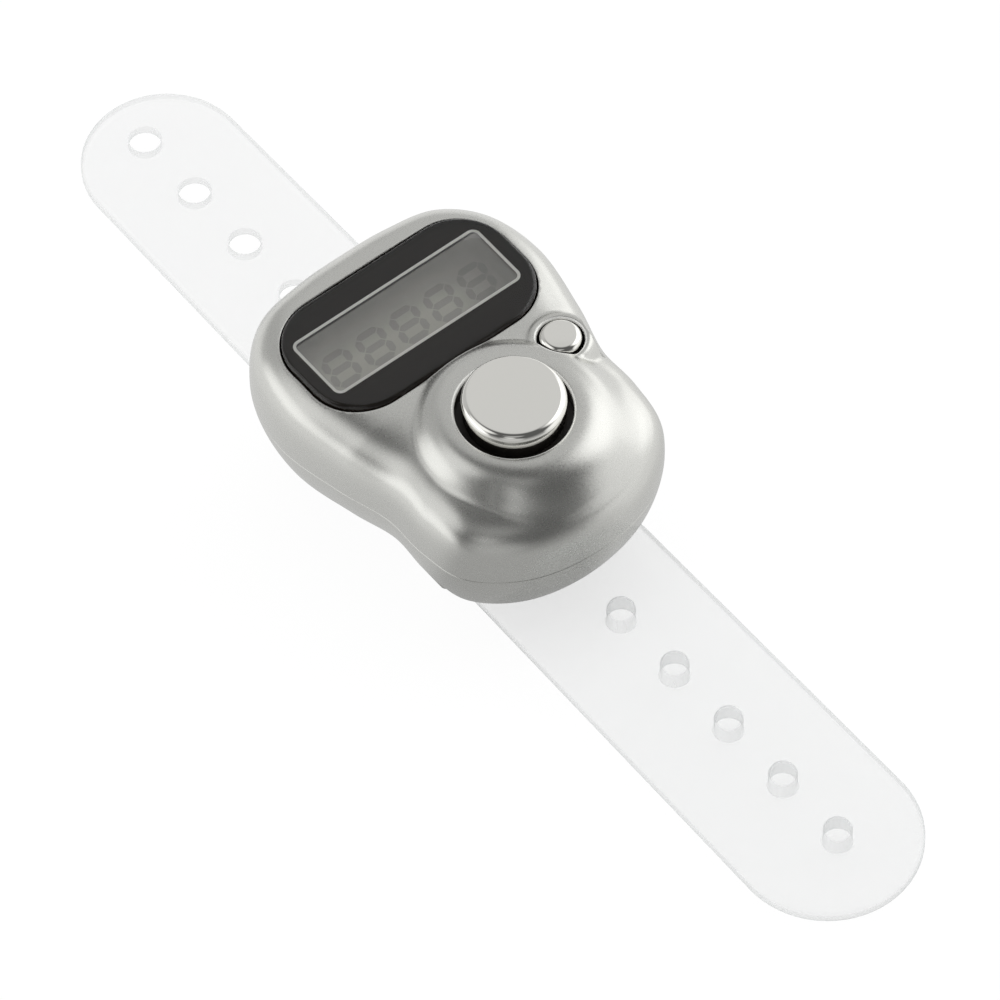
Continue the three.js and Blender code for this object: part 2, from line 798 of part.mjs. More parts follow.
// Materials
const silverPaint = new THREE.MeshStandardMaterial({ color: 0xb9babc, roughness: 0.38, metalness: 0.6 });
const chrome = new THREE.MeshStandardMaterial({ color: 0xd9dadc, roughness: 0.08, metalness: 1 });
const blackLens = new THREE.MeshStandardMaterial({ color: 0x16130f, roughness: 0.08, metalness: 0 });
const displayFilm = new THREE.MeshStandardMaterial({ color: 0x70716b, roughness: 0.3, metalness: 0 });
const glass = new THREE.MeshStandardMaterial({ color: 0xc9d3cf, roughness: 0.05, metalness: 0 });
const boardLaminate = new THREE.MeshStandardMaterial({ color: 0x2f6b3f, roughness: 0.5, metalness: 0 });
const blackEpoxy = new THREE.MeshStandardMaterial({ color: 0x141414, roughness: 0.35, metalness: 0 });
const ceramic = new THREE.MeshStandardMaterial({ color: 0xa98a62, roughness: 0.5, metalness: 0 });
const siliconeRubber = new THREE.MeshStandardMaterial({ color: 0xd8d8d2, roughness: 0.7, metalness: 0 });
const carbonRubber = new THREE.MeshStandardMaterial({ color: 0x1b1b1b, roughness: 0.85, metalness: 0 });
const steel = new THREE.MeshStandardMaterial({ color: 0xbfc1c4, roughness: 0.3, metalness: 1 });
const clearStrap = new THREE.MeshStandardMaterial({ color: 0xeef0f0, roughness: 0.35, metalness: 0 });

const counter = new THREE.Group();

function add(name, solid, material) {
  const mesh = new THREE.Mesh(geometryOf(solid), material);
  mesh.name = name;
  counter.add(mesh);
}

add('upper_case', upperCase(), silverPaint);
add('back_cover', backCover(), silverPaint);
add('strap', strap(), clearStrap);
add('display_lens', lens(), blackLens);
add('lcd_front_polariser', displaySheet(frontGlassLength, filmInset,
  frontFilmBottom, frontFilmBottom + filmThickness), displayFilm);
add('lcd_front_glass', displaySheet(frontGlassLength, 0,
  frontGlassBottom, frontGlassBottom + glassThickness), glass);
add('lcd_rear_glass', displaySheet(rearGlassLength, 0,
  rearGlassBottom, rearGlassBottom + glassThickness), glass);
add('lcd_reflector', displaySheet(rearGlassLength, filmInset,
  reflectorBottom, reflectorBottom + filmThickness), steel);
add('lcd_connector_strip', connectorStrip(), carbonRubber);
add('circuit_board', circuitBoard(), boardLaminate);
add('chip_epoxy_cap', chipCap(), blackEpoxy);
add('capacitor_1', chipPart(-chipPartX, chipPartFarY, false), ceramic);
add('capacitor_2', chipPart(-chipPartX, chipPartNearY, true), ceramic);
add('oscillator_resistor', chipPart(chipPartX, chipPartNearY, true), blackEpoxy);
add('count_button', countButton(), chrome);
add('count_rubber_dome', rubberDome({
  radius: countDomeRadius, crownRadius: countPostRadius, top: countDomeTop, x: 0, y: countY,
}), siliconeRubber);
add('count_contact_pill', pill(countPillRadius, countDomeTop, 0, countY), carbonRubber);
add('reset_button', resetButton(), chrome);
add('reset_rubber_dome', rubberDome({
  radius: resetDomeRadius, crownRadius: resetPostRadius, top: resetDomeTop, x: resetX, y: resetY,
}), siliconeRubber);
add('reset_contact_pill', pill(resetPillRadius, resetDomeTop, resetX, resetY), carbonRubber);
add('battery', battery(), steel);
add('battery_positive_contact', positiveContact(), steel);
add('battery_negative_contact', negativeContact(), steel);
add('case_screw_nose', caseScrew(caseScrewPlaces[0]), steel);
add('case_screw_display', caseScrew(caseScrewPlaces[1]), steel);
boardScrewPlaces.forEach((place, i) => add(`board_screw_${i + 1}`, boardScrew(place), steel));

export default counter;
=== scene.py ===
import math

import bpy
import numpy as np
from mathutils import Matrix, Vector
from mathutils.geometry import delaunay_2d_cdt
from mathutils.kdtree import KDTree


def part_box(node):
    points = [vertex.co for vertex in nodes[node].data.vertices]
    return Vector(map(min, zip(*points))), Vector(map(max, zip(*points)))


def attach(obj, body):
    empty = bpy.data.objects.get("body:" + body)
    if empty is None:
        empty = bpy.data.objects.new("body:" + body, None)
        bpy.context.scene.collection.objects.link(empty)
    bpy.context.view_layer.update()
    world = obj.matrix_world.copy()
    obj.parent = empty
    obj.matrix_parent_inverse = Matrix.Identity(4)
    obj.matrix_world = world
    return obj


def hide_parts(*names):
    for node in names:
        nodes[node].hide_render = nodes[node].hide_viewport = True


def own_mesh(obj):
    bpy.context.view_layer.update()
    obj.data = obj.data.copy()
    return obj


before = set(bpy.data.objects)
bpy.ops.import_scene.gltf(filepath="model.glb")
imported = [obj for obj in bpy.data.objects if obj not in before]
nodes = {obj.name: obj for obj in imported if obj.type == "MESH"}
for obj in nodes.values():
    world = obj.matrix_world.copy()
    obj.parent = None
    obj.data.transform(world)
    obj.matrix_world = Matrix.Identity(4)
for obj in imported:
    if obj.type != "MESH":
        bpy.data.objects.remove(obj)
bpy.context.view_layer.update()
scene = bpy.context.scene
scene.view_settings.view_transform = "Standard"

mm = 0.001
print("frame loaded:", len(nodes), "CAD nodes")


# Camera

camera = {
    "aim": (0.84, 0.12, 0.0),  # mm, where the middle of the picture meets the table
    "azimuth": -38.11,  # degrees
    "elevation": 54.70,
    "roll": -0.65,
    "distance": 665.1,  # mm
    "lens": 360.0,
    "sensor": 36.0,
    "clip": (50.0, 20000.0),
}


def makeCamera(c):
    data = bpy.data.cameras.new("camera")
    data.sensor_width = c["sensor"]
    data.lens = c["lens"]
    data.clip_start, data.clip_end = (distance * mm for distance in c["clip"])
    turn = (
        Matrix.Rotation(math.radians(c["azimuth"]), 4, "Z")
        @ Matrix.Rotation(math.radians(90.0 - c["elevation"]), 4, "X")
        @ Matrix.Rotation(math.radians(c["roll"]), 4, "Z")
    )
    back = turn @ Vector((0.0, 0.0, 1.0))
    place = (Vector(c["aim"]) + back * c["distance"]) * mm
    obj = bpy.data.objects.new("camera", data)
    scene.collection.objects.link(obj)
    obj.matrix_world = Matrix.Translation(place) @ turn
    scene.camera = obj


makeCamera(camera)
print("camera placed")


# Colours and nodes


def srgb(hexColour):
    # a hex colour as it is seen on screen, turned to the linear values that shaders take
    parts = [int(hexColour[i:i + 2], 16) / 255 for i in (1, 3, 5)]
    linear = [p / 12.92 if p <= 0.04045 else ((p + 0.055) / 1.055) ** 2.4 for p in parts]
    return (*linear, 1.0)


def addNode(tree, kind, inputs=None, **settings):
    # each input is a value, an output to link, or a node whose first output is linked
    node = tree.nodes.new("ShaderNode" + kind)
    for name, value in settings.items():
        setattr(node, name, value)
    for name, value in (inputs or {}).items():
        if isinstance(value, bpy.types.Node):
            value = value.outputs[0]
        if isinstance(value, bpy.types.NodeSocket):
            tree.links.new(value, node.inputs[name])
        else:
            node.inputs[name].default_value = value
    return node


def makeMaterial(name, surface, *values):
    # surface adds its nodes to the tree and returns its shader
    material = bpy.data.materials.new(name)
    material.use_nodes = True
    tree = material.node_tree
    tree.nodes.clear()
    addNode(tree, "OutputMaterial", {"Surface": surface(tree, *values)})
    return material


def perMillimetre(size):
    # texture scale for a pattern whose cells are this many millimetres wide
    return 1.0 / (size * mm)


def grain(tree, size, detail=2.0, stretch=(1.0, 1.0, 1.0)):
    # a cloudy pattern, its size in millimetres, on the object's own coordinates
    place = addNode(tree, "TexCoord").outputs["Object"]
    place = addNode(tree, "Mapping", {"Vector": place, "Scale": stretch})
    return addNode(tree, "TexNoise", {"Vector": place, "Scale": perMillimetre(size), "Detail": detail})


grainSpan = {"From Min": 0.3, "From Max": 0.7}  # nearly all of a grain's values lie between these


# Stage: floor, sky and lamp

stage = {
    "floorSize": 6000.0,  # mm
    "floorColour": "#fbfbfb",
    "floorGlow": 0.92,  # how much of the floor's picture is plain white, the rest shows shadow
    "glow": 1.03,
    # painted shade: metal sees the floor's glow lowered on the unlit side of the room, and close round the
    # counter, where its shade falls
    "unlitSide": (-0.53, -0.85, 0.0),
    "unlitSpan": (0.4, 0.8),  # cosines of the angle to that side where it begins and where it is full
    "unlit": 0.52,
    "shadeSpan": (12.0, 40.0),  # mm from the middle, where the shade is full and where it ends
    "shade": 0.30,
    "zenith": 0.11,
    "skyline": 0.40,
    "skySpan": (0.05, 0.6),  # sines of the elevations between which the skyline turns to the zenith
    # round soft patches of light: azimuth from +Y towards +X, elevation, angles of full and of no light,
    # strength
    "patches": [
        (-62.0, 3.0, 16.0, 43.0, 1.55),
        (-62.0, 46.0, 10.0, 30.0, 1.1),
        (95.0, 38.0, 13.0, 38.0, 1.8),
        (84.0, 2.0, 16.0, 38.0, 1.6),
        (132.0, 6.0, 14.0, 40.0, 1.1),
        (38.0, 35.0, 22.0, 52.0, 0.70),
        (0.0, 18.0, 20.0, 60.0, 0.56),
        (-132.0, 42.0, 2.0, 12.0, 0.85),
        (-140.0, 64.0, 3.0, 17.0, 0.45),
        (-138.0, 14.0, 10.0, 32.0, 0.6),
    ],
    # a lamp overhead: the way to it, its distance and width in mm, and its strength, where 1 looks as
    # bright as white paper
    "fillTowards": (0.1, 0.2, 1.0),
    "fillDistance": 900.0,
    "fillSize": 700.0,
    "fill": 1.3,
}


def whitePaper(tree, s):
    # matt white paper, seen pure white but for the counter's soft shadow, as the ground in the photo is
    paper = addNode(tree, "BsdfDiffuse", {"Color": srgb(s["floorColour"])})
    rays = addNode(tree, "LightPath").outputs
    place = addNode(tree, "TexCoord").outputs["Object"]
    away = addNode(tree, "VectorMath", {0: place}, operation="LENGTH").outputs["Value"]
    side = addNode(tree, "VectorMath", {0: place}, operation="NORMALIZE")
    side = addNode(tree, "VectorMath", {0: side, 1: s["unlitSide"]}, operation="DOT_PRODUCT")
    low, high = s["unlitSpan"]
    unlit = addNode(tree, "MapRange", {
        "Value": side.outputs["Value"], "From Min": low, "From Max": high, "To Max": s["unlit"],
    })
    near, far = s["shadeSpan"]
    shade = addNode(tree, "MapRange", {
        "Value": away, "From Min": near * mm, "From Max": far * mm, "To Min": s["shade"], "To Max": 0.0,
    })
    # painted shade: glossy rays see the glow lowered by the greater of the unlit side's and the near shade's
    # share
    paintedShade = addNode(tree, "Math", {0: unlit, 1: shade}, operation="MAXIMUM")
    paintedShade = addNode(tree, "Math", {0: rays["Is Glossy Ray"], 1: paintedShade}, operation="MULTIPLY")
    strength = addNode(tree, "Math", {0: s["glow"], 1: paintedShade}, operation="SUBTRACT")
    glow = addNode(tree, "Emission", {"Color": (1, 1, 1, 1), "Strength": strength})
    seen = addNode(tree, "Math", {0: rays["Is Camera Ray"], 1: rays["Is Glossy Ray"]}, operation="MAXIMUM")
    seen = addNode(tree, "Math", {0: seen, 1: rays["Is Transmission Ray"]}, operation="MAXIMUM")
    share = addNode(tree, "Math", {0: seen, 1: s["floorGlow"]}, operation="MULTIPLY")
    return addNode(tree, "MixShader", {0: share, 1: paper, 2: glow})


def makeFloor(s):
    half = s["floorSize"] / 2 * mm
    mesh = bpy.data.meshes.new("floor")
    mesh.from_pydata([(-half, -half, 0), (half, -half, 0), (half, half, 0), (-half, half, 0)], [],
                     [(0, 1, 2, 3)])
    mesh.materials.append(makeMaterial("white_paper_sweep", whitePaper, s))
    floor = bpy.data.objects.new("floor", mesh)
    scene.collection.objects.link(floor)


def makeSky(s):
    world = bpy.data.worlds.new("studio")
    scene.world = world
    world.use_nodes = True
    tree = world.node_tree
    tree.nodes.clear()
    direction = addNode(tree, "TexCoord").outputs["Generated"]
    height = addNode(tree, "SeparateXYZ", {0: direction}).outputs["Z"]
    low, high = s["skySpan"]
    total = addNode(tree, "MapRange", {
        "Value": height, "From Min": low, "From Max": high, "To Min": s["skyline"], "To Max": s["zenith"],
    }, interpolation_type="SMOOTHSTEP")
    for azimuth, elevation, inner, outer, strength in s["patches"]:
        a, e = math.radians(azimuth), math.radians(elevation)
        towards = (math.sin(a) * math.cos(e), math.cos(a) * math.cos(e), math.sin(e))
        dot = addNode(tree, "VectorMath", {0: direction, 1: towards}, operation="DOT_PRODUCT")
        patch = addNode(tree, "MapRange", {
            "Value": dot.outputs["Value"], "From Min": math.cos(math.radians(outer)),
            "From Max": math.cos(math.radians(inner)), "To Max": strength,
        }, interpolation_type="SMOOTHSTEP")
        total = addNode(tree, "Math", {0: total, 1: patch}, operation="MAXIMUM")
    background = addNode(tree, "Background", {"Color": (1, 1, 1, 1), "Strength": total})
    addNode(tree, "OutputWorld", {"Surface": background})


def makeFill(s):
    # a square soft lamp overhead, which reflections don't show
    size = s["fillSize"] * mm
    light = bpy.data.lights.new("overhead_fill", "AREA")
    light.shape = "SQUARE"
    light.size = size
    light.energy = s["fill"] * math.pi * size ** 2
    lamp = bpy.data.objects.new("overhead_fill", light)
    scene.collection.objects.link(lamp)
    back = Vector(s["fillTowards"]).normalized()
    lamp.rotation_mode = "QUATERNION"
    lamp.rotation_quaternion = back.to_track_quat("Z", "Y")
    lamp.location = back * s["fillDistance"] * mm
    lamp.visible_glossy = False


makeFloor(stage)
makeSky(stage)
makeFill(stage)
print("stage lit")


# Materials, each named for what the real piece is made of

lacquer = {
    "flake": 0.09,  # mm; real flakes are 0.02 mm wide, drawn larger so that they show
    "tilt": 0.018,  # how far each flake leans
    "metallic": 0.96,
    "roughness": (0.27, 0.29),
    "colours": ("#c9c9c5", "#cdcdc9"),
}


def silverLacquer(tree, k):
    # ABS sprayed with aluminium-flake lacquer: flakes lying at slightly different angles sparkle in broad,
    # soft highlights
    place = addNode(tree, "TexCoord").outputs["Object"]
    flakes = addNode(tree, "TexVoronoi", {"Vector": place, "Scale": perMillimetre(k["flake"])})
    flake = flakes.outputs["Color"]
    tone = addNode(tree, "SeparateColor", {0: flake})
    mixed = addNode(tree, "Math", {0: grain(tree, 2.5), 1: 0.5, 2: tone}, operation="MULTIPLY_ADD")
    mixed = addNode(tree, "MapRange", {"Value": mixed, "From Min": 0.2, "From Max": 1.3})
    dark, light = map(srgb, k["colours"])
    colour = addNode(tree, "Mix", {0: mixed, 6: dark, 7: light}, data_type="RGBA")
    low, high = k["roughness"]
    rough = addNode(tree, "MapRange", {"Value": tone, "To Min": low, "To Max": high})
    lean = addNode(tree, "VectorMath", {0: flake, 1: (0.5, 0.5, 0.5)}, operation="SUBTRACT")
    normal = addNode(tree, "NewGeometry").outputs["Normal"]
    lean = addNode(tree, "VectorMath", {0: lean, 1: (k["tilt"],) * 3, 2: normal}, operation="MULTIPLY_ADD")
    return addNode(tree, "BsdfPrincipled", {
        "Base Color": colour.outputs[2], "Metallic": k["metallic"], "Roughness": rough,
        "Normal": addNode(tree, "VectorMath", {0: lean}, operation="NORMALIZE"),
    })


def chromePlate(tree):
    # bright chrome plated on moulded ABS: a near mirror with a faint waviness of the plastic under it
    fine, wide = grain(tree, 0.5), grain(tree, 3.0, 1.0)
    return addNode(tree, "BsdfPrincipled", {
        "Base Color": srgb("#ebeae5"), "Metallic": 1.0,
        "Roughness": addNode(tree, "MapRange", {**grainSpan, "Value": fine, "To Min": 0.05, "To Max": 0.09}),
        "Normal": addNode(tree, "Bump", {"Height": wide, "Distance": 0.004 * mm, "Strength": 0.5}),
    })


def polariserFilm(tree, dark, light):
    # grey film under the lens, with painted shade: its colour darkens towards the display's far edge and
    # right end, where the deep window's rim would shade it
    place = addNode(tree, "TexCoord").outputs["Object"]
    x, y, _ = addNode(tree, "SeparateXYZ", {0: place}).outputs
    far = addNode(tree, "MapRange", {"Value": y, "From Min": 11.0 * mm, "From Max": 7.9 * mm})
    side = addNode(tree, "MapRange", {"Value": x, "From Min": 7.0 * mm, "From Max": 2.5 * mm})
    shade = addNode(tree, "Math", {0: far, 1: side}, operation="MULTIPLY")
    mottleAndShade = addNode(tree, "Math", {0: grain(tree, 0.8), 1: 0.12, 2: shade}, operation="MULTIPLY_ADD")
    colour = addNode(tree, "Mix", {0: mottleAndShade, 6: srgb(dark), 7: srgb(light)}, data_type="RGBA")
    return addNode(tree, "BsdfPrincipled", {"Base Color": colour.outputs[2], "Roughness": 0.35, "IOR": 1.5})


def clearAcrylic(tree):
    # moulded clear PMMA: sharp reflections, lets the print under it show
    rough = addNode(tree, "MapRange", {**grainSpan, "Value": grain(tree, 1.5), "To Max": 0.015})
    return addNode(tree, "BsdfPrincipled", {
        "Base Color": srgb("#ffffff"), "Roughness": rough, "IOR": 1.49, "Transmission Weight": 1.0,
    })


def screenInk(tree, first, second):
    # screen-printed ink that touches the lens from below: dead flat colour with the faint mottle of the mesh
    colour = addNode(tree, "Mix", {0: grain(tree, 0.35), 6: srgb(first), 7: srgb(second)}, data_type="RGBA")
    return addNode(tree, "BsdfPrincipled", {
        "Base Color": colour.outputs[2], "Roughness": 0.45, "Specular IOR Level": 0.0,
    })


def plainMoulded(tree, first, second, roughness, size=0.4, height=0.008, metallic=0.0):
    # a moulded or cast surface: two close tones and a fine texture, whose size and height are in millimetres
    speckle = grain(tree, size, 3.0)
    colour = addNode(tree, "Mix", {0: speckle, 6: srgb(first), 7: srgb(second)}, data_type="RGBA")
    return addNode(tree, "BsdfPrincipled", {
        "Base Color": colour.outputs[2], "Metallic": metallic, "Roughness": roughness,
        "Normal": addNode(tree, "Bump", {"Height": speckle, "Distance": height * mm, "Strength": 0.7}),
    })


def drawnMetal(tree, first, second, roughness):
    # bare metal with fine lines from drawing or rolling, which pull its highlights out across them
    lines = grain(tree, 0.3, stretch=(1.0, 8.0, 1.0))
    colour = addNode(tree, "Mix", {0: lines, 6: srgb(first), 7: srgb(second)}, data_type="RGBA")
    rough = addNode(tree, "MapRange", {
        **grainSpan, "Value": lines, "To Min": roughness - 0.06, "To Max": roughness + 0.06,
    })
    return addNode(tree, "BsdfPrincipled", {
        "Base Color": colour.outputs[2], "Metallic": 1.0, "Roughness": rough,
    })


def clearVinyl(tree):
    # soft clear PVC, injection moulded: milky body, glossy skin, denser where it is seen edge-on
    ripple = addNode(tree, "Bump", {"Height": grain(tree, 4.0), "Distance": 0.05 * mm, "Strength": 0.3})
    body = addNode(tree, "BsdfPrincipled", {
        "Base Color": srgb("#eef0f0"), "Roughness": 0.35, "IOR": 1.5, "Normal": ripple,
    })
    clear = addNode(tree, "BsdfTransparent", {"Color": srgb("#fdfdfd")})
    facing = addNode(tree, "LayerWeight", {"Blend": 0.35}).outputs["Facing"]
    milky = addNode(tree, "MapRange", {
        "Value": facing, "From Min": 0.1, "From Max": 0.95, "To Min": 0.07, "To Max": 0.7,
    })
    # a little more milky towards the stud end, along -Y
    place = addNode(tree, "TexCoord").outputs["Object"]
    y = addNode(tree, "SeparateXYZ", {0: place}).outputs["Y"]
    cloud = addNode(tree, "MapRange", {
        "Value": y, "From Min": 5.0 * mm, "From Max": -20.0 * mm, "To Max": 0.06,
    })
    milky = addNode(tree, "Math", {0: milky, 1: cloud}, operation="ADD")
    return addNode(tree, "MixShader", {0: milky, 1: clear, 2: body})


finishes = {
    "silver": makeMaterial("sprayed_silver_lacquer_on_abs", silverLacquer, lacquer),
    "chrome": makeMaterial("bright_chrome_plated_abs", chromePlate),
    "acrylic": makeMaterial("moulded_clear_acrylic", clearAcrylic),
    # brown-black plastic where no lacquer or plating reached: matt, nearly lost in the gaps
    "bareAbs": makeMaterial("bare_brown_black_abs", plainMoulded, "#292624", "#302d2a", 0.55, 0.3),
    # painted highlight: a near-white finish on the holes' rounded lips draws a thin light line round each
    # black gap
    "paintedRimHighlight": makeMaterial("painted_highlight_on_hole_lip", plainMoulded, "#f2f2ef", "#fafaf7", 0.3, 0.3,
                                0.002, 0.25),
    "blackInk": makeMaterial("black_screen_ink", screenInk, "#1d1915", "#221d19"),
    "silverInk": makeMaterial("silver_screen_ink", screenInk, "#f0f0ea", "#e4e4de"),
    "vinyl": makeMaterial("moulded_clear_pvc", clearVinyl),
    # both display materials carry painted shade, from the darker colour at the far edge and right end to the
    # lighter one
    "displayFilm": makeMaterial("rolled_polariser_film", polariserFilm, "#5f5e58", "#a8a79e"),
    # the liquid crystal over a segment's electrode turns the light a little: a faint darker grey
    "displaySegment": makeMaterial("unlit_display_segment", polariserFilm, "#52514d", "#908f88"),
    # thin drawn glass: smooth and faintly green
    "glass": makeMaterial("drawn_sheet_glass", plainMoulded, "#9fb0a8", "#a9b9b1", 0.06, 3.0, 0.0),
    # aluminium rolled to a film: light satin grey with soft streaks
    "reflector": makeMaterial("satin_aluminium_film", drawnMetal, "#a9aaa8", "#c0c1bf", 0.4),
    # carbon-filled silicone, pressed: dead matt black
    "carbonRubber": makeMaterial("pressed_carbon_rubber", plainMoulded, "#1b1b1c", "#242425", 0.85, 0.25),
    # glass cloth and epoxy under green resist: satin, a little uneven
    "board": makeMaterial("glass_epoxy_laminate_green", plainMoulded, "#2c6640", "#377a4c", 0.45, 0.35, 0.01),
    # epoxy dropped and cured on the chip: shiny black with slow swells
    "epoxy": makeMaterial("dropped_black_epoxy", plainMoulded, "#101011", "#18181a", 0.28, 1.2, 0.02),
    # fired ceramic: matt tan
    "ceramic": makeMaterial("fired_capacitor_ceramic", plainMoulded, "#a78a63", "#b4976f", 0.5, 0.2),
    # moulded silicone: milk white with a soft sheen
    "silicone": makeMaterial("moulded_silicone_rubber", plainMoulded, "#d6d6cf", "#dededa", 0.6, 0.3),
    # steel plated with nickel: bright grey with fine lines
    "steel": makeMaterial("nickel_plated_steel", drawnMetal, "#b9bbbd", "#cfd1d2", 0.28),
}
print("materials made:", len(finishes))


# Shapes: points are kept in millimetres and scaled when a piece is made


def newShape():
    return {"points": [], "faces": [], "finish": []}


def addPoints(shape, points):
    first = len(shape["points"])
    shape["points"].extend(tuple(map(float, p)) for p in points)
    return np.arange(first, first + len(points))


def addRow(shape, plan, heights):
    plan = np.asarray(plan, float)
    return addPoints(shape, np.column_stack([plan, np.broadcast_to(heights, len(plan))]))


def addFaces(shape, faces, finish=0):
    shape["faces"].extend(tuple(int(i) for i in face) for face in faces)
    shape["finish"].extend([finish] * len(faces))


def bridge(shape, lower, upper, finish=0):
    # quads between two closed rows that run anticlockwise from above, the first row lower or outside
    a, b = np.asarray(lower), np.asarray(upper)
    addFaces(shape, np.column_stack([a, np.roll(a, -1), np.roll(b, -1), b]), finish)


def carryOn(shape, last, plan, heights, finish=0, down=False):
    # adds a row, joins it to the last one and returns it; down is for rows that run down or outwards
    row = addRow(shape, plan, heights)
    lower, upper = (row, last) if down else (last, row)
    bridge(shape, lower, upper, finish)
    return row


def closeRow(shape, row, up=True, finish=0):
    addFaces(shape, [tuple(row if up else row[::-1])], finish)


def meshOf(name, shape):
    mesh = bpy.data.meshes.new(name)
    mesh.from_pydata([[c * mm for c in p] for p in shape["points"]], [], shape["faces"])
    mesh.polygons.foreach_set("material_index", shape["finish"])
    mesh.validate()
    return mesh


def cutFrom(piece, shape):
    # takes a closed shape out of a piece and keeps the result as its mesh
    cutter = bpy.data.objects.new("cutter", meshOf("cutter", shape))
    scene.collection.objects.link(cutter)
    piece.modifiers.new("cut", "BOOLEAN").object = cutter
    made = bpy.data.meshes.new_from_object(piece.evaluated_get(bpy.context.evaluated_depsgraph_get()))
    piece.modifiers.clear()
    piece.data = made
    bpy.data.objects.remove(cutter)


def makePiece(name, shape, finishNames, replaced=(), body="case", sharp=40.0, cutter=None):
    # sharp is the angle from which an edge between two faces stays hard
    mesh = meshOf(name, shape)
    for finish in finishNames:
        mesh.materials.append(finishes[finish])
    piece = bpy.data.objects.new(name, mesh)
    scene.collection.objects.link(piece)
    if cutter:
        cutFrom(piece, cutter)
    mesh = piece.data
    mesh.shade_smooth()
    mesh.set_sharp_from_angle(angle=math.radians(sharp))
    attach(piece, body)
    if replaced:
        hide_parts(*replaced)
    print("piece", name, len(mesh.polygons), "faces")
    return piece


def circle(x, y, radius, count):
    turn = np.arange(count) / count * 2 * np.pi
    return np.column_stack([x + radius * np.cos(turn), y + radius * np.sin(turn)])


def roundedRectangle(width, length, corner, x=0.0, y=0.0, perCorner=16, perSide=12):
    # a closed row with the same count of points whatever its size
    points = []
    right, far = width / 2 - corner, length / 2 - corner
    centres = ((right, far), (-right, far), (-right, -far), (right, -far))
    for quarter, (cx, cy) in enumerate(centres):
        for i in range(perCorner + 1):
            turn = (quarter + i / perCorner) * math.pi / 2
            points.append((x + cx + corner * math.cos(turn), y + cy + corner * math.sin(turn)))
        turn = (quarter + 1) * math.pi / 2
        nextX, nextY = centres[(quarter + 1) % 4]
        start = (cx + corner * math.cos(turn), cy + corner * math.sin(turn))
        stop = (nextX + corner * math.cos(turn), nextY + corner * math.sin(turn))
        for i in range(1, perSide):
            share = i / perSide
            points.append((x + start[0] + (stop[0] - start[0]) * share,
                           y + start[1] + (stop[1] - start[1]) * share))
    return np.array(points)


def insideOf(points, loop):
    # which points lie inside a closed loop, by counting crossings to the right
    x, y = points[:, 0][:, None], points[:, 1][:, None]
    x0, y0 = loop[:, 0][None], loop[:, 1][None]
    x1, y1 = np.roll(loop[:, 0], -1)[None], np.roll(loop[:, 1], -1)[None]
    crosses = (y0 > y) != (y1 > y)
    with np.errstate(divide="ignore", invalid="ignore"):
        at = x0 + (y - y0) * (x1 - x0) / (y1 - y0)
    return (np.sum(crosses & (x < at), axis=1) % 2) == 1


def farFrom(points, others, distance):
    tree = KDTree(len(others))
    for i, (x, y) in enumerate(others):
        tree.insert((x, y, 0.0), i)
    tree.balance()
    return np.array([tree.find((x, y, 0.0))[2] > distance for x, y in points], bool)


gridRoom = 0.6  # how clear of earlier points a plan's grid keeps, as a share of its spacing
weldGap = 1e-7  # mm; points of a plan that are closer become one


def fillPlan(outer, spacing, holes=(), extra=()):
    # triangles over a plan between loops, on given rows of points and then an even grid
    loops = [np.asarray(outer)] + [np.asarray(h) for h in holes]
    kept = np.concatenate(loops)

    def wanted(points, gap):
        points = points[insideOf(points, loops[0])]
        for hole in loops[1:]:
            points = points[~insideOf(points, hole)]
        return points[farFrom(points, kept, gap)] if len(points) else points

    for points, gap in extra:
        kept = np.concatenate([kept, wanted(np.asarray(points), gap)])
    low, high = loops[0].min(0), loops[0].max(0)
    rowStep = spacing * math.sqrt(3) / 2
    grid = []
    for j in range(int((high[1] - low[1]) / rowStep) + 1):
        start = low[0] + (j % 2) * spacing / 2
        grid.extend((x, low[1] + j * rowStep) for x in np.arange(start, high[0], spacing))
    kept = np.concatenate([kept, wanted(np.array(grid), spacing * gridRoom)])
    edges = []
    first = 0
    for loop in loops:
        edges.extend((first + i, first + (i + 1) % len(loop)) for i in range(len(loop)))
        first += len(loop)
    made = delaunay_2d_cdt([Vector(p) for p in kept], edges, [], 0, weldGap)
    points = np.array([tuple(p) for p in made[0]])
    faces = np.array([f for f in made[2] if len(f) == 3])
    middles = points[faces].mean(1)
    inside = insideOf(middles, loops[0])
    for hole in loops[1:]:
        inside &= ~insideOf(middles, hole)
    faces = faces[inside]
    a, b, c = (points[faces[:, i]] for i in range(3))
    flipped = (b[:, 0] - a[:, 0]) * (c[:, 1] - a[:, 1]) < (b[:, 1] - a[:, 1]) * (c[:, 0] - a[:, 0])
    faces[flipped] = faces[flipped][:, ::-1]
    placeOf = {source: i for i, sources in enumerate(made[3]) for source in sources}
    rows = []
    first = 0
    for loop in loops:
        rows.append(np.array([placeOf[first + i] for i in range(len(loop))]))
        first += len(loop)
    return points, faces, rows


def addPlan(shape, plan, heights, up=True, finish=0):
    # puts a filled plan into the shape and returns the numbers of its loops' points
    points, faces, rows = plan
    numbers = addRow(shape, points, heights)
    faces = numbers[faces]
    addFaces(shape, faces if up else faces[:, ::-1], finish)
    return [numbers[row] for row in rows]


def turned(shape, profile, x, y, count):
    # a body of revolution; the profile runs from the bottom of the axis to the top, outside on its right
    rows = []
    for radius, height in profile:
        if radius == 0:
            rows.append(addPoints(shape, [(x, y, height)]))
        else:
            rows.append(addRow(shape, circle(x, y, radius, count), height))
    for a, b in zip(rows, rows[1:]):
        if len(a) == 1:
            addFaces(shape, [(a[0], b[(i + 1) % count], b[i]) for i in range(count)])
        elif len(b) == 1:
            addFaces(shape, [(a[i], a[(i + 1) % count], b[0]) for i in range(count)])
        else:
            bridge(shape, a, b)
    return rows


def arc(centreRadius, centreHeight, radius, start, stop, steps):
    turn = [math.radians(start + (stop - start) * i / steps) for i in range(steps + 1)]
    return [(centreRadius + radius * math.cos(t), centreHeight + radius * math.sin(t)) for t in turn]


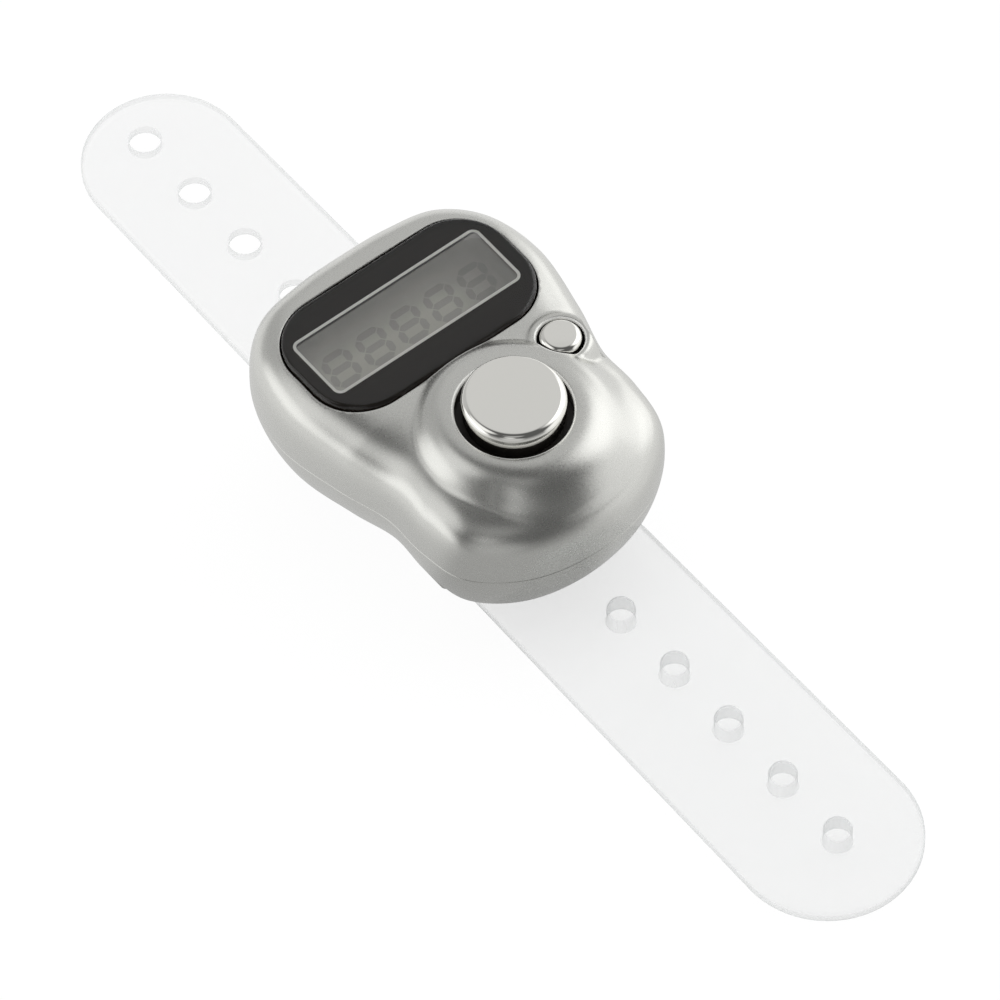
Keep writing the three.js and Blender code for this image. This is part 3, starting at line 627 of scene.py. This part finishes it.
def rounding(radius, angles):
    # for points along a rounded edge, how far they lie from the two faces that would meet there
    return [(radius * (1 - math.cos(t)), radius * (1 - math.sin(t))) for t in np.radians(angles)]


# Case form, in millimetres on the CAD's axes

countPlace, resetPlace = {"x": 0.0, "y": -2.55}, {"x": 6.4, "y": 0.55}  # the buttons' own axes

caseShape = {
    "nose": (0.0, -11.6),
    "half": [(5.0, -10.6), (8.4, -7.8), (9.2, -4.3), (9.25, -0.8), (10.3, 3.25), (11.08, 8.5),
             (10.0, 12.85), (7.45, 15.4), (3.7, 16.25)],
    "end": (0.0, 16.4),
    "centreY": 2.6,
    "underside": 2.3,
    "widest": 8.2,
    "top": 12.9,
    "topSlope": 0.025,
    "lowerReach": 3.05,
    "lowerPower": 1.7,
    "upperReach": 6.06,
    "noseReach": 0.6,
    "flankReach": 0.9,
    "upperPower": 3.3,
    "wall": 1.2,
    "floor": 1.1,
    "ceiling": 11.03,
    "seamHeight": 7.5,
    "seamSlope": 0.035,
    "seamGap": 0.02,
    "seamEdge": 0.07,  # radius of the rounded edges along the seam
    "holeEdge": 0.2,  # radius of the rims round the buttons
    "flangeRoom": 4.85,  # radius of the room for the count button's flange
    "flangeRoomTop": 12.8,
    "pocketEdge": 0.1,
    "lensSeat": 0.12,  # how far the lens stands off its seat
    "windowRoom": 0.15,  # how far the window stands off the display glass
    "windowCorner": 0.3,
    # heights on the inside, each with how much thicker the wall is there
    "upperInside": [(9.5, 0.0), (10.6, 0.3)],
    "lowerInside": [(5.6, 0.0), (4.4, 0.1), (3.6, 0.5)],
    "insideSlope": 1.0,  # from there in to the flat ceiling or floor
    "capInset": 1.2,  # where the top face's mesh ends and the rows of the flank begin
    "sides": 400,
    "fineSides": 2000,  # points of the outline that heights are measured from
}
# how the shells' meshes are divided: sizes of triangles, counts of rows and how they bunch, and rows of
# points along an edge, with their distances from it and the room that each keeps from earlier points
caseMesh = {"top": 0.4, "ceiling": 1.2, "underside": 0.8, "floor": 1.5, "flankRows": 26, "flankBunch": 1.3,
            "bellyRows": 24, "bellyBunch": 1.6, "firstRing": 0.1,
            "pocketRows": (0.12, 0.3, 0.55), "pocketGap": 0.08,
            "capRows": (0.2, 0.42, 0.66, 0.92, 1.2, 1.5, 1.85, 2.2), "capGap": 0.12}
# the raised rings: wideSide, in degrees from +X, is where a ring's slope runs out widest, and blend is how
# softly it meets the top face, with more towards the nose
countRing = {**countPlace, "hole": 3.93, "flat": 4.0, "foot": 6.2, "wider": 0.6, "wideSide": -50.0,
             "top": 14.0, "drop": 1.0, "power": 2.6, "blend": 0.45, "noseBlend": 0.9,
             "sides": 200, "rowStep": 0.16, "rowGap": 0.09, "rowsPast": 1.2}
resetRing = {**resetPlace, "hole": 1.6, "flat": 1.95, "foot": 2.6, "wider": 0.0, "wideSide": 0.0,
             "top": 13.05, "drop": 0.9, "power": 1.5, "blend": 0.3, "noseBlend": 0.0,
             "sides": 96, "rowStep": 0.13, "rowGap": 0.07, "rowsPast": 0.5}
lensShape = {"width": 17.7, "length": 9.75, "corner": 3.8, "y": 8.5, "gap": 0.07, "edge": 0.3}


def smoothLoop(corners, count, stepsBetween=60):
    # a closed centripetal Catmull-Rom curve through the corners, as evenly spaced points
    corners = np.array(corners)
    before, after, beyond = np.roll(corners, 1, 0), np.roll(corners, -1, 0), np.roll(corners, -2, 0)
    share = np.linspace(0, 1, stepsBetween, endpoint=False)[:, None]
    pieces = []
    for p0, p1, p2, p3 in zip(before, corners, after, beyond):
        d0, d1, d2 = (np.linalg.norm(b - a) ** 0.5 for a, b in ((p0, p1), (p1, p2), (p2, p3)))
        m1 = ((p1 - p0) / d0 - (p2 - p0) / (d0 + d1) + (p2 - p1) / d1) * d1
        m2 = ((p2 - p1) / d1 - (p3 - p1) / (d1 + d2) + (p3 - p2) / d2) * d1
        s2, s3 = share ** 2, share ** 3
        pieces.append((2 * s3 - 3 * s2 + 1) * p1 + (s3 - 2 * s2 + share) * m1
                      + (3 * s2 - 2 * s3) * p2 + (s3 - s2) * m2)
    curve = np.concatenate(pieces + [pieces[0][:1]])
    length = np.concatenate([[0], np.cumsum(np.linalg.norm(np.diff(curve, axis=0), axis=1))])
    at = np.arange(count) / count * length[-1]
    return np.column_stack([np.interp(at, length, curve[:, i]) for i in range(2)])


def caseCorners(c):
    left = [(-x, y) for x, y in reversed(c["half"])]
    return [c["nose"], *c["half"], c["end"], *left]


outline = smoothLoop(caseCorners(caseShape), caseShape["sides"])
fineOutline = smoothLoop(caseCorners(caseShape), caseShape["fineSides"]) - (0.0, caseShape["centreY"])
outlineAngles = np.arctan2(fineOutline[:, 1], fineOutline[:, 0])
outlineRadii = np.hypot(fineOutline[:, 0], fineOutline[:, 1])


def drawnIn(points, inset):
    c = caseShape
    towards = points - (0.0, c["centreY"])
    length = np.hypot(towards[:, 0], towards[:, 1])
    return (0.0, c["centreY"]) + towards * ((length - inset) / length)[:, None]


def shoulderReach(edgeY):
    c = caseShape
    towardsNose = np.clip((c["centreY"] - edgeY) / (c["centreY"] - c["nose"][1]), 0, None)
    waist = 4 * towardsNose * np.clip(1 - towardsNose, 0, 1)
    return c["upperReach"] + c["noseReach"] * towardsNose ** 2 + c["flankReach"] * waist


def roofHeight(y):
    return caseShape["top"] - caseShape["topSlope"] * (lensShape["y"] - y)


def domeHeight(x, y):
    c = caseShape
    angle = np.arctan2(y - c["centreY"], x)
    edge = np.interp(angle, outlineAngles, outlineRadii, period=2 * np.pi)
    reach = shoulderReach(c["centreY"] + edge * np.sin(angle))
    inset = np.clip(edge - np.hypot(x, y - c["centreY"]), 0, reach)
    share = (1 - (1 - inset / reach) ** c["upperPower"]) ** (1 / c["upperPower"])
    return c["widest"] + share * (roofHeight(y) - c["widest"])


def sideInset(z):
    # how far each outline point is drawn in at a height, above or below the widest height
    c = caseShape
    reach = shoulderReach(outline[:, 1])
    place = outline
    for _ in range(3):
        up = np.clip((z - c["widest"]) / (roofHeight(place[:, 1]) - c["widest"]), 0, 1)
        down = np.clip((c["widest"] - z) / (c["widest"] - c["underside"]), 0, 1)
        inset = reach * (1 - (1 - up ** c["upperPower"]) ** (1 / c["upperPower"]))
        inset = inset + c["lowerReach"] * (1 - (1 - down ** c["lowerPower"]) ** (1 / c["lowerPower"]))
        place = drawnIn(outline, inset)
    return inset


def ringHeight(x, y, ring):
    distance = np.hypot(x - ring["x"], y - ring["y"])
    angle = np.arctan2(y - ring["y"], x - ring["x"]) - math.radians(ring["wideSide"])
    foot = ring["foot"] + ring["wider"] * np.clip(np.cos(angle), 0, 1)
    share = np.clip((distance - ring["flat"]) / (foot - ring["flat"]), 0, None)
    return ring["top"] - ring["drop"] * share ** ring["power"]


def softMax(a, b, width):
    near = np.clip(width - np.abs(a - b), 0, None) / width
    return np.maximum(a, b) + near ** 2 * width / 4


def topHeight(points):
    x, y = points[:, 0], points[:, 1]
    height = domeHeight(x, y)
    for ring in (countRing, resetRing):
        towardsNose = np.clip((ring["y"] - y) / np.hypot(x - ring["x"], y - ring["y"]), 0, 1)
        blend = ring["blend"] + ring["noseBlend"] * towardsNose
        height = softMax(height, ringHeight(x, y, ring), blend)
    return height


def seamHeight(y, side):
    c = caseShape
    return c["seamHeight"] - c["seamSlope"] * (y - c["centreY"]) + side * c["seamGap"] / 2


def ringCircle(ring, radius):
    return circle(ring["x"], ring["y"], radius, ring["sides"])


def pocketRow(inset):
    # the lens pocket's outline, or a row outside it where the inset is negative
    s = lensShape
    size = 2 * (s["gap"] - inset)
    return roundedRectangle(s["width"] + size, s["length"] + size, s["corner"] + s["gap"] - inset, y=s["y"])


def roundedRim(shape, row, plan, innerPlan, heights, radius, lipHighlightFinish=0, steps=5):
    # rolls a surface over a rounded edge, from its row to the wall of the hole inside it
    for i in range(1, steps + 1):
        turn = math.pi / 2 * i / steps
        place = plan + (innerPlan - plan) * math.sin(turn)
        fall = radius * (1 - math.cos(turn))
        row = carryOn(shape, row, place, heights - fall, lipHighlightFinish if i > 1 else 0)
    return row


def carrySide(shape, last, rows, finish=0, down=False):
    # carries the case's side along rows of heights and of how much further in than the flank they lie
    for z, inset in rows:
        last = carryOn(shape, last, drawnIn(outline, sideInset(z) + inset), z, finish, down)
    return last


def millimetreBox(name):
    low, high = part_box(name)
    return low / mm, high / mm


def sheetRow(name, extra, corner):
    # a rounded row round a flat piece, larger than it all round by an extra
    low, high = millimetreBox(name)
    size, middle = high - low, (high + low) / 2
    return roundedRectangle(size.x + 2 * extra, size.y + 2 * extra, corner, x=middle.x, y=middle.y)


def seamRounding(seam, side):
    # the rows round a shell's edge at the seam, above it or below
    return [(seam + side * rise, inset) for inset, rise in rounding(caseShape["seamEdge"], (30, 60, 90))]


def insideRows(seam, steps):
    # the rows inside a shell's edge, at the seam and then at even heights
    wall = caseShape["wall"]
    return [(seam, wall)] + [(np.full_like(seam, z), wall + thicker) for z, thicker in steps]


lacquered, bare, rimHighlight = range(3)  # the upper shell's materials, in their order


def upperCase():
    c, m = caseShape, caseMesh
    shape = newShape()
    edge = c["holeEdge"]
    rings = (countRing, resetRing)
    loops = [ringCircle(ring, ring["hole"] + edge) for ring in rings]
    pocket = pocketRow(-c["pocketEdge"])
    rows = []
    for ring in (resetRing, countRing):
        first = ring["hole"] + edge + m["firstRing"]
        for radius in np.arange(first, ring["foot"] + ring["rowsPast"], ring["rowStep"]):
            rows.append((ringCircle(ring, radius), ring["rowGap"]))
    rows += [(pocketRow(-c["pocketEdge"] - inset), m["pocketGap"]) for inset in m["pocketRows"]]
    rows += [(drawnIn(outline, c["capInset"] + inset), m["capGap"]) for inset in m["capRows"]]
    capEdge = drawnIn(outline, c["capInset"])
    plan = fillPlan(capEdge, m["top"], [*loops, pocket], rows)
    edgeRow, countRow, resetRow, pocketEdgeRow = addPlan(shape, plan, topHeight(plan[0]))

    innerRows = []
    for row, loop, ring in zip((countRow, resetRow), loops, rings):
        wall = ringCircle(ring, ring["hole"])
        # the lips of the button holes take the painted highlight
        row = roundedRim(shape, row, loop, wall, topHeight(loop), edge, lipHighlightFinish=rimHighlight)
        if ring is countRing:
            # under its mouth the count hole widens, where the button's flange moves
            row = carryOn(shape, row, wall, c["flangeRoomTop"], bare)
            wall = ringCircle(ring, c["flangeRoom"])
            row = carryOn(shape, row, wall, c["flangeRoomTop"], bare)
        innerRows.append((carryOn(shape, row, wall, c["ceiling"], bare), wall))
    row = roundedRim(shape, pocketEdgeRow, pocket, pocketRow(0.0), topHeight(pocket), c["pocketEdge"])
    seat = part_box("display_lens")[0].z / mm - c["lensSeat"]
    row = carryOn(shape, row, pocketRow(0.0), seat, bare)
    window = sheetRow("lcd_front_glass", c["windowRoom"], c["windowCorner"])
    row = carryOn(shape, row, window, seat, bare)
    innerRows.append((carryOn(shape, row, window, c["ceiling"], bare), window))

    # down the outside to the seam, round its edge, and up the inside
    capHeight = domeHeight(capEdge[:, 0], capEdge[:, 1])
    seam = seamHeight(outline[:, 1], 1)
    shares = [1 - (1 - i / m["flankRows"]) ** m["flankBunch"] for i in range(1, m["flankRows"] + 1)]
    flank = [(capHeight + (seam + c["seamEdge"] - capHeight) * share, 0.0) for share in shares]
    last = carrySide(shape, edgeRow, flank + seamRounding(seam, 1), down=True)
    last = carrySide(shape, last, insideRows(seam, c["upperInside"]), bare, down=True)
    ceilingInset = sideInset(np.full_like(seam, c["upperInside"][-1][0])) + c["wall"] + c["insideSlope"]
    inner = fillPlan(drawnIn(outline, ceilingInset), m["ceiling"], [loop for _, loop in innerRows])
    innerLoops = addPlan(shape, inner, c["ceiling"], up=False, finish=bare)
    bridge(shape, innerLoops[0], last, bare)
    for (row, _), innerRow in zip(innerRows, innerLoops[1:]):
        bridge(shape, row, innerRow, bare)
    return shape


def backCover():
    c, m = caseShape, caseMesh
    shape = newShape()
    seam = seamHeight(outline[:, 1], -1)
    plan = fillPlan(drawnIn(outline, c["lowerReach"]), m["underside"])
    (last,) = addPlan(shape, plan, c["underside"], up=False)
    turns = [math.pi / 2 * i / m["bellyRows"] for i in range(1, m["bellyRows"] + 1)]
    rise = seam - c["seamEdge"] - c["underside"]
    belly = [(c["underside"] + rise * math.sin(turn) ** m["bellyBunch"], 0.0) for turn in turns]
    last = carrySide(shape, last, belly + seamRounding(seam, -1) + insideRows(seam, c["lowerInside"]))
    floorEdge = drawnIn(outline, c["lowerReach"] + c["wall"] + c["insideSlope"])
    (floorRow,) = addPlan(shape, fillPlan(floorEdge, m["floor"]), c["underside"] + c["floor"])
    bridge(shape, last, floorRow)
    return shape


# the case screws' recesses and the posts that their heads pull against: radii, then heights
screwSeat = {"nodes": ("case_screw_nose", "case_screw_display"), "head": 1.5, "shank": 0.9, "post": 2.0,
             "foot": 3.3, "seat": 4.12, "cutTop": 6.0, "top": 6.08, "sides": 48}


def middleOf(name):
    low, high = millimetreBox(name)
    return (low.x + high.x) / 2, (low.y + high.y) / 2


def screwRecesses(k):
    # a wide hole for each case screw's head, and a narrow one for its shank
    shape = newShape()
    profile = [(0, 0.0), (k["head"], 0.0), (k["head"], k["seat"]), (k["shank"], k["seat"]),
               (k["shank"], k["cutTop"]), (0, k["cutTop"])]
    for name in k["nodes"]:
        turned(shape, profile, *middleOf(name), k["sides"])
    return shape


def screwPosts(k):
    shape = newShape()
    profile = [(k["head"], k["foot"]), (k["post"], k["foot"]), (k["post"], k["top"]), (k["shank"], k["top"]),
               (k["shank"], k["seat"]), (k["head"], k["seat"])]
    for name in k["nodes"]:
        rows = turned(shape, profile, *middleOf(name), k["sides"])
        bridge(shape, rows[-1], rows[0])
    return shape


makePiece("upper_shell", upperCase(), ("silver", "bareAbs", "paintedRimHighlight"), ("upper_case",))
makePiece("back_shell", backCover(), ("silver",), ("back_cover",),
          cutter=screwRecesses(screwSeat))
makePiece("screw_posts", screwPosts(screwSeat), ("silver",))


# Strap bridges: two U-shaped bars moulded with the back cover

bridges = {
    "places": {"nose": -2.2, "display": 9.3},  # along Y
    "width": 2.6,
    "channel": 6.277,  # half the room between the legs
    "leg": 0.72,
    "corner": 1.2,
    "innerCorner": 0.2,
    "bar": 0.7,
    "high": 3.0,
    "edge": 0.14,
}


def bridgeSection(b):
    # the U in the XZ plane: its legs root in the case, its bar lies under the strap
    half = b["channel"] + b["leg"]
    corner, inner = b["corner"], b["innerCorner"]
    return np.array([
        *arc(corner - half, corner, corner, 180, 270, 10),
        *arc(half - corner, corner, corner, 270, 360, 10),
        (half, b["high"]),
        (b["channel"], b["high"]),
        *arc(b["channel"] - inner, b["bar"] + inner, inner, 0, -90, 4),
        *arc(inner - b["channel"], b["bar"] + inner, inner, -90, -180, 4),
        (-b["channel"], b["high"]),
        (-half, b["high"]),
    ])


def bandAlongY(section, y, width, edge):
    # a closed body with one section all along Y and rounded edges at both its ends
    ahead = np.roll(section, -1, 0) - section
    behind = section - np.roll(section, 1, 0)
    along = ahead / np.hypot(*ahead.T)[:, None] + behind / np.hypot(*behind.T)[:, None]
    along /= np.hypot(*along.T)[:, None]
    inwards = np.column_stack([-along[:, 1], along[:, 0]])
    rolled = [(inset, place - width / 2) for place, inset in rounding(edge, (0, 22.5, 45, 67.5, 90))]
    rolled += [(inset, -place) for inset, place in reversed(rolled)]
    shape = newShape()
    rows = [addPoints(shape, [(x, y + place, z) for x, z in section + inwards * inset])
            for inset, place in rolled]
    for first, second in zip(rows, rows[1:]):
        bridge(shape, second, first)
    closeRow(shape, rows[0])
    closeRow(shape, rows[-1], up=False)
    return shape


for place, y in bridges["places"].items():
    band = bandAlongY(bridgeSection(bridges), y, bridges["width"], bridges["edge"])
    makePiece(f"strap_bridge_{place}", band, ("silver",))


# Display lens: a clear slab, printed black underneath round a window with a silver frame line

lensPrint = {"lineWidth": 15.32, "lineLength": 5.05, "lineX": 0.2, "lineY": 9.0, "line": 0.21,
             "lineCorner": 0.5}
clear, blackPrint, silverPrint = range(3)  # the lens's materials, in their order


def displayLens():
    s, p = lensShape, lensPrint
    shape = newShape()
    low, high = (corner.z for corner in millimetreBox("display_lens"))

    def lensPlan(inset):
        size = 2 * inset
        return roundedRectangle(s["width"] - size, s["length"] - size, s["corner"] - inset, y=s["y"])

    lineRows = [
        addRow(shape, roundedRectangle(p["lineWidth"] + size, p["lineLength"] + size,
                                       p["lineCorner"] + size / 2, x=p["lineX"], y=p["lineY"]), low)
        for size in (-p["line"], p["line"])
    ]
    last = addRow(shape, lensPlan(0.0), low)
    closeRow(shape, lineRows[0], up=False, finish=clear)
    bridge(shape, lineRows[0], lineRows[1], silverPrint)
    bridge(shape, lineRows[1], last, blackPrint)
    last = carryOn(shape, last, lensPlan(0.0), high - s["edge"], blackPrint)
    for inset, drop in rounding(s["edge"], range(10, 91, 10)):
        last = carryOn(shape, last, lensPlan(inset), high - drop, clear)
    closeRow(shape, last, finish=clear)
    return shape


makePiece("display_window", displayLens(), ("acrylic", "blackInk", "silverInk"),
          ("display_lens",), sharp=30.0)


# Display film: the front polariser, with the unlit digits of the display showing through it

digits = {
    "count": 5,
    "pitch": 2.83,
    "firstX": -6.15,  # the middle of the first digit's foot
    "footY": 6.68,
    "width": 2.3,
    "height": 2.85,
    "stroke": 0.52,
    "slant": 0.13,
    "gap": 0.05,
}
filmShape = {"room": 0.12, "corner": 0.15, "mesh": 0.8}  # room is how far the film reaches past the CAD's
plainFilm, unlitSegment = range(2)  # the film's materials, in their order


def segmentLoops(d):
    # the seven six-sided segments of each digit, as loops
    half, s, g = d["height"] / 2, d["stroke"] / 2, d["gap"]
    left, right = s - d["width"] / 2, d["width"] / 2 - s
    loops = []
    for i in range(d["count"]):
        x = d["firstX"] + i * d["pitch"]
        segments = []
        for level in (s, half, d["height"] - s):
            a, b = left + g, right - g
            segments.append([(a, level), (a + s, level - s), (b - s, level - s), (b, level),
                             (b - s, level + s), (a + s, level + s)])
        for side in (left, right):
            for low, high in ((s, half), (half, d["height"] - s)):
                a, b = low + g, high - g
                segments.append([(side, a), (side + s, a + s), (side + s, b - s), (side, b),
                                 (side - s, b - s), (side - s, a + s)])
        for segment in segments:
            loops.append(np.array([(x + px + d["slant"] * py, d["footY"] + py) for px, py in segment]))
    return loops


def displayFilm():
    shape = newShape()
    low, high = (corner.z for corner in millimetreBox("lcd_front_polariser"))
    edge = sheetRow("lcd_front_polariser", filmShape["room"], filmShape["corner"])
    plan = fillPlan(edge, filmShape["mesh"], segmentLoops(digits))
    outer, *segments = addPlan(shape, plan, high, finish=plainFilm)
    for row in segments:
        closeRow(shape, row, finish=unlitSegment)
    foot = addRow(shape, edge, low)
    bridge(shape, foot, outer)
    closeRow(shape, foot, up=False)
    return shape


makePiece("display_film", displayFilm(), ("displayFilm", "displaySegment"),
          ("lcd_front_polariser",))


# Buttons, turned about their own axes

countKey = {**countPlace, "radius": 3.48, "top": 15.45, "edge": 0.5, "crown": 0.03,
            "flange": 4.55, "flangeTop": 12.68, "flangeLow": 11.98, "post": 1.3, "postLow": 10.98,
            "groove": [(1.3, 14.55), (2.58, 14.55), (2.58, 11.98)], "body": "count_key"}
resetKey = {**resetPlace, "radius": 1.42, "top": 13.45, "edge": 0.45, "crown": 0.05,
            "flange": 1.95, "flangeTop": 10.7, "flangeLow": 10.3, "post": 0.8, "postLow": 10.23,
            "groove": [(0.8, 10.3)], "body": "reset_key"}


def keyShape(k, sides=128):
    shape = newShape()
    flat = k["radius"] - k["edge"]
    crown = [(flat * share, k["top"] - k["crown"] * share ** 2) for share in (0.8, 0.6, 0.4, 0.2)]
    inside = [(0, k["postLow"]), (k["post"], k["postLow"]), *k["groove"], (k["flange"], k["flangeLow"]),
              (k["flange"], k["flangeTop"]), (k["radius"], k["flangeTop"])]
    cap = [*arc(flat, k["top"] - k["crown"] - k["edge"], k["edge"], 0, 90, 12), *crown, (0, k["top"])]
    turned(shape, inside + cap, k["x"], k["y"], sides)
    # all that stays inside the case was masked while the button was plated, and has the second finish
    masked = sides * (len(inside) - 1)
    shape["finish"][:masked] = [1] * masked
    return shape


for name, key in (("count_button", countKey), ("reset_button", resetKey)):
    makePiece(f"{name}_key", keyShape(key), ("chrome", "bareAbs"), (name,), key["body"])


# Rubber domes under the buttons, drawn at rest; the real ones squash as the buttons go down

domes = {
    "count": {**countPlace, "radius": 2.7, "crown": 1.3, "low": 8.56, "top": 10.86, "travel": 0.8},
    "reset": {**resetPlace, "radius": 1.2, "crown": 0.8, "low": 8.56, "top": 10.11, "travel": 0.5},
}
domeSkin = {"wall": 0.35, "crown": 0.56, "brim": 0.3, "round": 0.15, "shoulder": (0.3, 0.5), "sides": 64}


def domeShape(d, k):
    shape = newShape()
    mouth = (d["radius"] - 2 * k["wall"], d["low"])
    reach, drop = k["shoulder"]
    profile = [
        mouth,
        (d["radius"], d["low"]),
        *arc(d["radius"] - k["round"], d["low"] + k["brim"] - k["round"], k["round"], 0, 60, 4),
        (d["crown"] + reach, d["top"] - drop),
        *arc(d["crown"] - k["round"], d["top"] - k["round"], k["round"], 30, 90, 4),
        (0, d["top"]),
    ]
    inside = [(0, d["top"] - k["crown"]), (d["crown"] - k["wall"], d["top"] - k["crown"]),
              (mouth[0], d["low"] + k["brim"] / 2)]
    rows, innerRows = (turned(shape, part, d["x"], d["y"], k["sides"]) for part in (profile, inside))
    bridge(shape, innerRows[-1], rows[0])
    return shape


for name, dome in domes.items():
    piece = makePiece(f"{name}_dome", domeShape(dome, domeSkin), ("silicone",),
                      (f"{name}_rubber_dome",))
    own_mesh(piece)


# Strap: one soft moulding with a row of holes and a row of studs

strapShape = {
    "length": 82.4,
    "low": 1.0,
    "thickness": 1.0,
    "studWidth": 12.8,
    "holeWidth": 11.5,
    "edge": 0.3,
    "count": 5,
    "pitch": 5.55,
    "hole": 1.1,
    "holeFromTip": 3.45,
    "holeEdge": 0.2,
    "stud": 0.975,
    "studFromTip": 5.3,
    "studHeight": 2.0,
    "studEdge": 0.5,
    "studFoot": 0.2,
    "studFlat": 0.39,  # radius of the flat middle of a stud's top
    "mesh": 1.6,
    "roundSides": 56,
    "endPoints": 49,
    "sidePoints": 60,
}


def strapRow(inset):
    s = strapShape
    near, far = s["studWidth"] / 2, s["holeWidth"] / 2
    studY, holeY = near - s["length"] / 2, s["length"] / 2 - far
    turn = np.linspace(0, np.pi, s["endPoints"])
    farEnd = np.column_stack([np.cos(turn), np.sin(turn)]) * (far - inset) + (0, holeY)
    nearEnd = np.column_stack([-np.cos(turn), -np.sin(turn)]) * (near - inset) + (0, studY)
    share = np.linspace(0, 1, s["sidePoints"] + 2)[1:-1, None]
    leftSide = farEnd[-1] + (nearEnd[0] - farEnd[-1]) * share
    rightSide = nearEnd[-1] + (farEnd[0] - nearEnd[-1]) * share
    return np.concatenate([farEnd, leftSide, nearEnd, rightSide])


def follow(shape, row, profile, y):
    # carries a round row along a profile of radii and heights
    for radius, z in profile:
        row = carryOn(shape, row, circle(0, y, radius, len(row)), z)
    return row


def strapBand():
    s = strapShape
    shape = newShape()
    low, top = s["low"], s["low"] + s["thickness"]
    steps = np.arange(s["count"]) * s["pitch"]
    holes = s["length"] / 2 - s["holeFromTip"] - steps
    studs = s["studFromTip"] - s["length"] / 2 + steps
    rim = s["hole"] + s["holeEdge"]
    foot = s["stud"] + s["studFoot"]
    holeLoops = [circle(0, y, rim, s["roundSides"]) for y in holes]
    studLoops = [circle(0, y, foot, s["roundSides"]) for y in studs]
    edge = strapRow(s["edge"])
    topRow, *loops = addPlan(shape, fillPlan(edge, s["mesh"], holeLoops + studLoops), top)
    last, *lowLoops = addPlan(shape, fillPlan(edge, s["mesh"], holeLoops), low, up=False)
    for rise, inset in rounding(s["edge"], range(15, 91, 15)):
        last = carryOn(shape, last, strapRow(inset), low + rise)
    for inset, drop in rounding(s["edge"], range(0, 76, 15)):
        last = carryOn(shape, last, strapRow(inset), top - drop)
    bridge(shape, last, topRow)
    for y, row, lowLoop in zip(holes, loops, lowLoops):
        row = follow(shape, row, [
            *arc(rim, top - s["holeEdge"], s["holeEdge"], 105, 180, 5),
            *arc(rim, low + s["holeEdge"], s["holeEdge"], 180, 255, 5),
        ], y)
        bridge(shape, row, lowLoop)
    for y, row in zip(studs, loops[len(holes):]):
        stud, peak = s["stud"], top + s["studHeight"]
        row = follow(shape, row, [
            *arc(foot, top + s["studFoot"], s["studFoot"], 255, 180, 5),
            *arc(stud - s["studEdge"], peak - s["studEdge"], s["studEdge"], 0, 90, 8),
            (s["studFlat"], peak),
        ], y)
        closeRow(shape, row)
    return shape


makePiece("strap_band", strapBand(), ("vinyl",), ("strap",), "strap_band")


# Plain materials on the CAD nodes that keep their shape

plainFinishes = {
    "glass": ["lcd_front_glass", "lcd_rear_glass"],
    "reflector": ["lcd_reflector"],
    "carbonRubber": ["lcd_connector_strip", "count_contact_pill", "reset_contact_pill"],
    "board": ["circuit_board"],
    "epoxy": ["chip_epoxy_cap", "oscillator_resistor"],
    "ceramic": ["capacitor_1", "capacitor_2"],
    "steel": ["battery", "battery_positive_contact", "battery_negative_contact", "case_screw_nose",
              "case_screw_display", "board_screw_1", "board_screw_2", "board_screw_3"],
}
for finish, names in plainFinishes.items():
    for name in names:
        data = nodes[name].data
        data.materials.clear()
        data.materials.append(finishes[finish])
print("CAD nodes finished")
